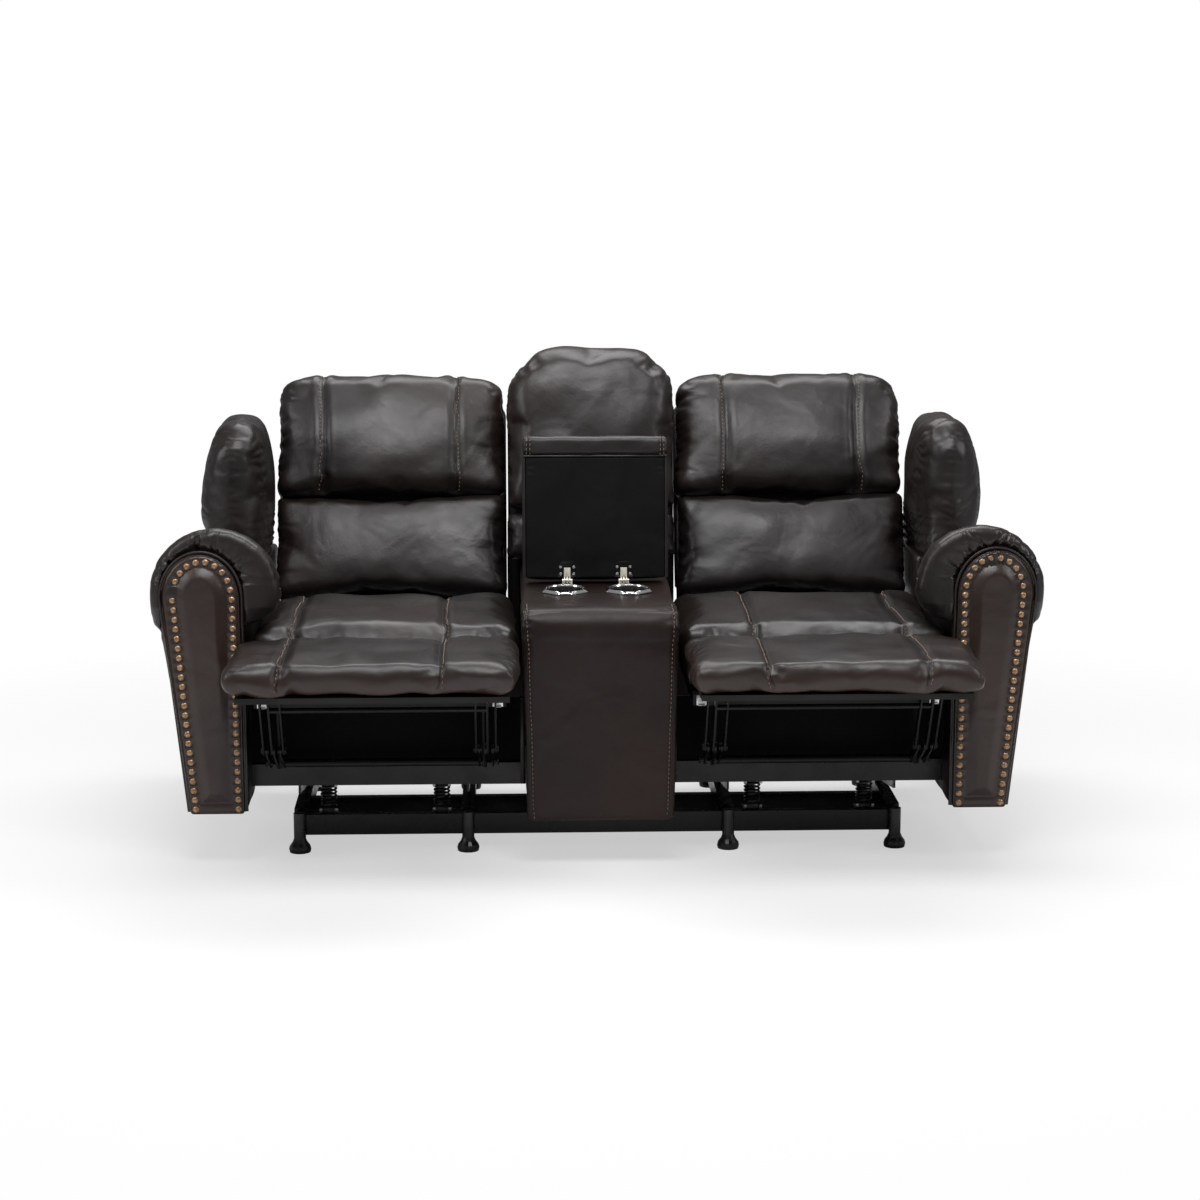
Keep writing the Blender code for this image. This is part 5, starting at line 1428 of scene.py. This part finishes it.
def lid_hinge(side, sign):
    """A dark plate on a bright one, its screws, and the nickel arm that turns on the pin."""
    x = sign * HINGE_X
    half = HINGE_PLATE_WIDTH / 2
    front = LID_FACE - 0.0036
    hinge_plate(f"{side}_hinge_plate", x, half, front, front + 0.0014, HINGE_PLATE_TOP, STEEL)
    back, top = front + 0.0026, HINGE_PLATE_TOP + 0.0009
    hinge_plate(f"{side}_hinge_rim", x, half + 0.0009, front + 0.0014, back, top, NICKEL)
    heads = []
    for dx in (-1, 1):
        for z in (0.014, 0.029):
            heads.append(screw_head(Vector((x + dx * half * 0.68, front, z)), 0.0031))
    screws = joined(heads, f"{side}_hinge_screws")
    moved(screws, LID_FRAME)
    finished(screws, ZINC, "lid")
    width = HINGE_ARM_WIDTH
    outer = pin("knuckle", (x, 0.0, 0.0), 0.0065, width, "X", 32)
    left, right = x - width / 2, x + width / 2
    arm = block("arm", (left, front - 0.0030, -0.001), (right, front - 0.0001, HINGE_ARM_TOP), 0.0)
    hinge = fused(outer, arm)
    foot = block("foot", (left, -0.001, -0.0045), (right, front + 0.001, 0.004), 0.0)
    hinge = fused(hinge, foot)
    for dx in (-1, 1):
        low = (x + dx * 0.0032 - 0.0011, front - 0.02, -0.012)
        high = (x + dx * 0.0032 + 0.0011, front + 0.0015, 0.0085)
        cut_out(hinge, block("slot", low, high, 0.0))
    cut_out(hinge, pin("bore", (x, 0.0, 0.0), 0.0026, width * 2, "X", 20))
    softened(hinge, 0.0005, 2, 40)
    hinge.name = hinge.data.name = f"{side}_hinge_arm"
    moved(hinge, LID_FRAME)
    finished(hinge, NICKEL, "lid", angle=30)
    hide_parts(f"{side}_lid_hinge")
    hinge_seat(side, x)


def hinge_seat(side, x):
    """The lugs that hold a hinge's pin, on their foot plate on the deck."""
    y, z = LID_AXIS.y, LID_AXIS.z
    seat = []
    for dx in (-1, 1):
        lug_x = x + dx * (HINGE_ARM_WIDTH / 2 + 0.0023)
        eye = pin("eye", (lug_x, y, z), 0.0042, 0.0036, "X", 24)
        low, high = (lug_x - 0.0018, y - 0.0042, DECK_Z - 0.003), (lug_x + 0.0018, y + 0.0042, z)
        seat.append(fused(eye, block("lug", low, high, 0.0)))
    seat.append(pin("pin", (x, y, z), 0.0022, HINGE_ARM_WIDTH + 0.0066, "X", 20))
    low, high = (x - 0.0125, y - 0.007, DECK_Z - 0.001), (x + 0.0125, y + 0.008, DECK_Z + 0.0012)
    seat.append(block("base", low, high, 0.0005, 2))
    lugs = joined(seat, f"{side}_hinge_lugs")
    finished(lugs, NICKEL, "frame", angle=30)


def screw_head(place, radius):
    """A pan head with a cross recess, facing the front."""
    head = pin("head", (place.x, place.y - radius * 0.25, place.z), radius, radius * 0.5, "Y", 20)
    softened(head, radius * 0.22, 2, 40)
    for size in ((0.75, 0.16), (0.16, 0.75)):
        low = (place.x - radius * size[0], place.y - radius * 0.9, place.z - radius * size[1])
        high = (place.x + radius * size[0], place.y - radius * 0.28, place.z + radius * size[1])
        cut_out(head, block("cross", low, high, 0.0))
    smooth(head, 30)
    return head


# Boards of the backs


def back_shell(node, name, body, tilt_frame, low, high, corner):
    """The upholstered board behind a back: rounded upper corners, a welt round its rear face."""
    shell = block(name, low, high, 0.0)
    bevelled(shell, lambda a, b: min(a.z, b.z) > high[2] - 0.001 and abs(a.y - b.y) > 0.001, corner, 10)
    softened(shell, 0.007, 3, 40)
    left, rear, top = low[0] + 0.004, high[1] - 0.003, high[2] - 0.004
    rim = [(left, rear, low[2] + 0.02)]
    for turn in range(9):
        angle = math.pi / 2 * turn / 8
        rim.append((left + corner * (1 - math.cos(angle)), rear, top - corner * (1 - math.sin(angle))))
    middle = (low[0] + high[0]) / 2
    rim += [(2 * middle - x, y, z) for x, y, z in reversed(rim)]
    welt = tube(f"{name}_welt", evenly(rim, 0.006), 0.0032, sides=12)
    for piece in (shell, welt):
        moved(piece, tilt_frame)
        finished(piece, LEATHER, body)
    smooth(shell, 40)
    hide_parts(node)


def seat_back_board(side, sign):
    """The back's leather shell, and the steel ears that carry it on their pins."""
    place = tilted(Vector((0.0, behind(PIVOT_DEPTH), PIVOT_Z)), BACK_TILT)
    body = f"{side}_back"
    left, right = sorted((sign * BACK_SHELL_INNER_X, sign * BACK_SHELL_OUTER_X))
    low, high = (left, -0.0155, 0.026), (right, 0.0295, 0.468)
    back_shell(f"{body}_board", f"{body}_shell", body, place, low, high, 0.035)
    for number, outwards in enumerate(((-0.2665, -0.1925), (-0.174, 0.174), (0.1925, 0.250))):
        left, right = sorted(sign * (MECHANISM_X + x) for x in outwards)
        low, high = (left, -0.0085, -0.060), (right, -0.0050, 0.040)
        skirt = block(f"{body}_skirt_{number}", low, high, 0.0012, 2)
        moved(skirt, place)
        finished(skirt, CLOTH, f"{side}_back", angle=40)
    for end in (-1, 1):
        x = sign * MECHANISM_X + end * 0.1861
        ear = pin("ear", (x, 0.0, 0.0), 0.013, 0.004, "X", 32)
        ear = fused(ear, block("tongue", (x - 0.002, -0.009, 0.0), (x + 0.002, 0.013, 0.110), 0.0))
        ear = joined([ear, pin("pin", (x - end * 0.004, 0.0, 0.0), 0.006, 0.0112, "X", 24)], "ear")
        rivet = dome("rivet", (x + end * 0.002, 0.0, 0.0), 0.0085, 0.0030, end)
        ear = joined([ear, rivet], f"{body}_ear_{end + 1}")
        moved(ear, place)
        finished(ear, STEEL, f"{side}_back", angle=30)


def console_back_board():
    """The console back's shell, and the two covered posts that carry it beside the box."""
    place = tilted(Vector((0.0, behind(0.582), DECK_Z + 0.0003)), CONSOLE_BACK_TILT)
    low, high = (-0.1905, 0.0, 0.0073), (0.1905, 0.035, 0.4490)
    back_shell("console_back_board", "console_back_shell", "frame", place, low, high, 0.075)
    for side, sign in SIDES.items():
        across = (sign * 0.1635, sign * 0.1920)
        post = slab(f"{side}_console_post", across, (0.590, 0.6215), (0.300, 0.640), 0.004, 3)
        finished(post, LEATHER, "frame", angle=40)
    board = slab("console_rear_board", (-0.1925, 0.1925), (0.6225, 0.634), (0.4055, 0.566), 0.003, 3)
    finished(board, LEATHER, "frame", angle=40)


def rear_panel_seams():
    """Stitched seams down the outside back."""
    low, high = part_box("rear_frame_panel")
    for number, x in enumerate((-0.44, -0.19, 0.19, 0.44)):
        path = evenly([(x, high.y + 0.0004, z) for z in (low.z + 0.004, high.z - 0.004)], 0.004)
        # The seam cord is darker leather: painted shade along the seam.
        finished(tube(f"rear_seam_{number}", path, 0.0017), GROOVE_SHADE_LEATHER, "frame")
        rearwards = np.tile((0.0, 1.0, 0.0), (len(path), 1))
        row = stitches(f"rear_seam_stitches_{number}", path, rearwards, offset=0.007)
        finished(row, THREAD, "frame")


# Mechanism


def dome(name, place, radius, height, way, axis="X"):
    """A rivet's head on the end of its pin."""
    head = pin(name, (0.0, 0.0, 0.0), radius, height, axis, 20)
    index = "XYZ".index(axis)
    outer_end = height * 0.45
    width = min(height, radius) * 0.75
    bevelled(head, lambda a, b: min(a[index] * way, b[index] * way) > outer_end, width, 3)
    points = coordinates(head)
    points[:, index] += way * height / 2
    reshape(head, points + np.array(place))
    return head


def link_bar(name, body, x, start, end, half_width):
    """A flat pressed bar with rounded ends between two pivots, given as depth and height."""
    start, end = np.array(start), np.array(end)
    way = (end - start) / np.linalg.norm(end - start)
    turn = math.atan2(way[1], way[0])
    outline = []
    for centre, first in ((end, turn - math.pi / 2), (start, turn + math.pi / 2)):
        for step in range(13):
            angle = first + math.pi * step / 12
            outline.append(centre + half_width * np.array((math.cos(angle), math.sin(angle))))
    count = len(outline)
    shifts = (-LINK_THICKNESS / 2, LINK_THICKNESS / 2)
    verts = [(x + shift, behind(depth), z) for shift in shifts for depth, z in outline]
    faces = [tuple(range(count)), tuple(range(2 * count - 1, count - 1, -1))]
    faces += [(i, (i + 1) % count, count + (i + 1) % count, count + i) for i in range(count)]
    bar = new_piece(name, verts, faces)
    outward(bar)
    softened(bar, 0.0007, 2, 40)
    finished(bar, STEEL, body, angle=30)


def pivot(name, body, x, way, place, length):
    """A shouldered rivet with its washers, from one bar to the next."""
    depth, z = place
    middle = x + way * length / 2
    bits = [
        pin("shank", (middle, behind(depth), z), 0.0052, length, "X", 20),
        pin("washer", (x + way * 0.0010, behind(depth), z), 0.0090, 0.0012, "X", 24),
        dome("head", (x + way * length, behind(depth), z), 0.0082, 0.0028, way),
    ]
    rivet = joined(bits, name)
    finished(rivet, STEEL, body, angle=30)


def linkage(side, sign):
    """The second row of bars in both link pairs, with their rivets and spacers."""
    tube_place, knee, bracket = (0.055, 0.205), (-0.0374, 0.2549), (-0.130, 0.397)
    for end in (-1, 1):
        middle = sign * MECHANISM_X
        label = f"{side}_{'low' if end < 0 else 'high'}"
        for number, (rear, front) in enumerate(((0.2072, 0.2010), (0.2362, 0.2424))):
            rear_x, front_x = middle + end * rear, middle + end * front
            link_bar(f"{label}_rear_bar_{number}", f"{side}_rear_links", rear_x, tube_place, knee, 0.0105)
            link_bar(f"{label}_front_bar_{number}", f"{side}_front_links", front_x, knee, bracket, 0.0095)
        for name, body, place in (
            ("tube_rivet", f"{side}_rear_links", tube_place),
            ("knee_rivet", f"{side}_rear_links", knee),
            ("toe_rivet", f"{side}_front_links", bracket),
        ):
            pivot(f"{label}_{name}_out", body, middle + end * 0.2322, end, place, 0.0135)
            pivot(f"{label}_{name}_in", body, middle + end * 0.2130, -end, place, 0.0150)


def seat_catches(side, sign):
    """Bent zinc catches on the front of the seat deck."""
    for number, offset in enumerate((-0.247, 0.247)):
        x = sign * MECHANISM_X + offset
        front = behind(-0.0004)
        plate = block("plate", (x - 0.011, front - 0.0018, 0.337), (x + 0.011, front, 0.358), 0.0006, 2)
        lip = block("lip", (x - 0.007, front - 0.0085, 0.337), (x + 0.007, front - 0.0010, 0.3388), 0.0006, 2)
        bits = [fused(plate, lip)]
        for dx in (-0.0062, 0.0062):
            bits.append(dome("screw", (x + dx, front - 0.0016, 0.3515), 0.0030, 0.0016, -1, "Y"))
        catch = joined(bits, f"{side}_seat_catch_{number}")
        finished(catch, ZINC, f"{side}_seat", angle=30)


def spring_seats(side):
    """The clipped plates that hold the rocker springs."""
    for place in ("inner", "outer"):
        low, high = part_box(f"{side}_{place}_rocker_spring")
        x, y = (low.x + high.x) / 2, (low.y + high.y) / 2
        for name, z, body in (("foot", low.z, "base"), ("top", high.z, "frame")):
            way = -1 if name == "foot" else 1
            below, above = sorted((z + way * 0.0002, z + way * 0.0026))
            bits = [block("plate", (x - 0.021, y - 0.022, below), (x + 0.021, y + 0.022, above), 0.0007, 2)]
            for dx in (-0.017, 0.017):
                hook_low = (x + dx - 0.003, y - 0.0235, z - 0.010)
                hook_high = (x + dx + 0.003, y - 0.0215, z + 0.010)
                bits.append(block("hook", hook_low, hook_high, 0.0006, 2))
                bits.append(dome("screw", (x + dx, y - 0.0150, z), 0.0032, 0.0034, -way, "Z"))
            seat = joined(bits, f"{side}_{place}_spring_{name}")
            finished(seat, ZINC, body, angle=30)


def front_cloth(side):
    """The dust cloth that hangs behind the front rail, pinned along its upper edge."""
    low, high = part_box(f"{side}_front_board")
    front = behind(FRONT_CLOTH_DEPTH)
    cloth_low = (low.x + 0.002, front - 0.0022, FRONT_RAIL_TOP_Z + 0.0005)
    cloth_high = (high.x - 0.002, front - 0.0004, high.z - 0.002)
    cloth = block(f"{side}_dust_cloth", cloth_low, cloth_high, 0.0)
    divided(cloth, 6, subdivision_type="SIMPLE")
    points = coordinates(cloth)
    x, z = points[:, 0], points[:, 2]
    sag = np.sin((x - low.x) * 21) * np.sin((z - low.z) * 17) + 0.6 * np.sin(x * 47 + z * 31)
    points[:, 1] -= 0.0022 + 0.0014 * sag
    reshape(cloth, points)
    # Real black cloth, with its colour darkened further as painted shade under the footrest.
    finished(cloth, CLOTH, "frame", angle=40)


def board_end(side, sign):
    """The folded end of the front rail beside the console."""
    across = (sign * 0.1565, sign * 0.1680)
    end = slab(f"{side}_rail_end", across, (0.0855, 0.104), (0.147, 0.335), 0.0015, 2)
    finished(end, STEEL, "frame", angle=40)


def arm_filler(side, sign):
    """The padded leather that closes the gap between the arm and the back."""
    across = (sign * 0.7250, sign * 0.7480)
    pad = slab(f"{side}_arm_filler", across, (0.402, 0.660), (0.430, 0.584), 0.0105, 5)
    finished(pad, LEATHER, "frame", angle=60)


def mechanism():
    for side, sign in SIDES.items():
        board_end(side, sign)
        arm_filler(side, sign)
        linkage(side, sign)
        seat_catches(side, sign)
        spring_seats(side)
        front_cloth(side)
        dress([f"{side}_{place}_rocker_spring" for place in ("inner", "outer")], SPRING_STEEL)
        dress([f"{side}_footrest_board", f"{side}_seat_deck"], BOARD)
        dress([f"{side}_rear_links", f"{side}_front_links", f"{side}_front_board"], STEEL)
        for place in ("inner", "outer"):
            dress([f"{side}_{place}_side_plate", f"{side}_{place}_base_rail"], STEEL)
            dress([f"{side}_{place}_{end}_foot" for end in ("front", "rear")], PLASTIC)
        dress([f"{side}_release_lever"], PLASTIC)
    dress(["base_front_rail", "base_rear_rail"], STEEL)
    dress(["rear_frame_panel"], LEATHER)
    rear_panel_seams()


# Studio


def soft_light(name, place, target, size, power):
    lamp = bpy.data.lights.new(name, "AREA")
    lamp.shape = "RECTANGLE"
    lamp.size, lamp.size_y = size
    lamp.energy = power
    holder = bpy.data.objects.new(name, lamp)
    holder.location = place
    holder.rotation_euler = (Vector(target) - Vector(place)).to_track_quat("-Z", "Y").to_euler()
    bpy.context.scene.collection.objects.link(holder)


def seen_directly(tree):
    """1 for rays from the camera."""
    return tree.nodes.new("ShaderNodeLightPath").outputs["Is Camera Ray"]


def white_world():
    world = bpy.data.worlds.new("white_studio")
    bpy.context.scene.world = world
    world.use_nodes = True
    tree = world.node_tree
    background = tree.nodes["Background"]
    strength = tree.nodes.new("ShaderNodeMix")
    strength.data_type = "FLOAT"
    strength.inputs["A"].default_value = WORLD_FILL
    strength.inputs["B"].default_value = 1.0
    tree.links.new(seen_directly(tree), strength.inputs["Factor"])
    background.inputs["Color"].default_value = (1.0, 1.0, 1.0, 1.0)
    tree.links.new(strength.outputs["Result"], background.inputs["Strength"])


def floor():
    """A white floor that keeps the shadow and fades into the white behind it."""
    bpy.ops.object.select_all(action="DESELECT")
    bpy.ops.mesh.primitive_circle_add(vertices=96, radius=FLOOR_RADIUS, fill_type="NGON", location=(0, 0, 0))
    piece = bpy.context.object
    piece.name = "studio_floor"
    material = bpy.data.materials.new("white_floor")
    material.use_nodes = True
    tree = material.node_tree
    output = tree.nodes["Material Output"]
    matt = tree.nodes["Principled BSDF"]
    matt.inputs["Base Color"].default_value = (0.82, 0.82, 0.82, 1.0)
    matt.inputs["Roughness"].default_value = 0.9
    matt.inputs["Specular IOR Level"].default_value = 0.1
    white = tree.nodes.new("ShaderNodeEmission")
    white.inputs["Strength"].default_value = 1.0
    lit = tree.nodes.new("ShaderNodeMixShader")
    place = tree.nodes.new("ShaderNodeTexCoord")
    reach = tree.nodes.new("ShaderNodeVectorMath")
    reach.operation = "LENGTH"
    tree.links.new(place.outputs["Object"], reach.inputs[0])
    fade = tree.nodes.new("ShaderNodeMapRange")
    fade.interpolation_type = "SMOOTHSTEP"
    for key, value in (("From Min", 1.1), ("From Max", 2.6), ("To Min", FLOOR_GLOW), ("To Max", 1.0)):
        fade.inputs[key].default_value = value
    tree.links.new(reach.outputs["Value"], fade.inputs["Value"])
    share = tree.nodes.new("ShaderNodeMath")
    share.operation = "MULTIPLY"
    tree.links.new(fade.outputs["Result"], share.inputs[0])
    tree.links.new(seen_directly(tree), share.inputs[1])
    tree.links.new(share.outputs[0], lit.inputs["Fac"])
    tree.links.new(matt.outputs[0], lit.inputs[1])
    tree.links.new(white.outputs[0], lit.inputs[2])
    tree.links.new(lit.outputs[0], output.inputs["Surface"])
    piece.data.materials.append(material)


def camera():
    """The photograph's viewpoint: low, a little left of the middle, looking slightly down."""
    lens = bpy.data.cameras.new("camera")
    lens.lens = CAMERA_LENS
    lens.sensor_width = SENSOR
    holder = bpy.data.objects.new("camera", lens)
    holder.location = CAMERA_PLACE
    holder.rotation_euler = (math.radians(90 - CAMERA_DOWN), 0.0, math.radians(CAMERA_TURN))
    bpy.context.scene.collection.objects.link(holder)
    bpy.context.scene.camera = holder


def studio():
    bpy.context.scene.view_settings.view_transform = "Standard"
    white_world()
    floor()
    soft_light("overhead", (0.2, 0.9, 2.9), (0.0, 0.1, 0.5), (3.0, 1.4), 74)
    soft_light("overhead_front", (-0.2, -1.5, 2.8), (0.0, 0.0, 0.5), (2.2, 0.9), 60)
    soft_light("upper_right", (3.0, -1.2, 2.2), (0.1, 0.0, 0.5), (1.0, 1.6), 26)
    soft_light("upper_left", (-3.0, -1.0, 2.0), (0.0, 0.0, 0.5), (1.0, 1.6), 24)
    camera()


for side, sign in SIDES.items():
    seat_cushion(side, sign)
    footrest_pad(side, sign)
    seat_back(side, sign)
    wing_pillow(side, sign)
    arm_cover(side, sign)
    arm_panel(side, sign)
    cup_holder(side)
    seat_back_board(side, sign)
console_back()
console_back_board()
console_cover()
lid()
mechanism()
studio()
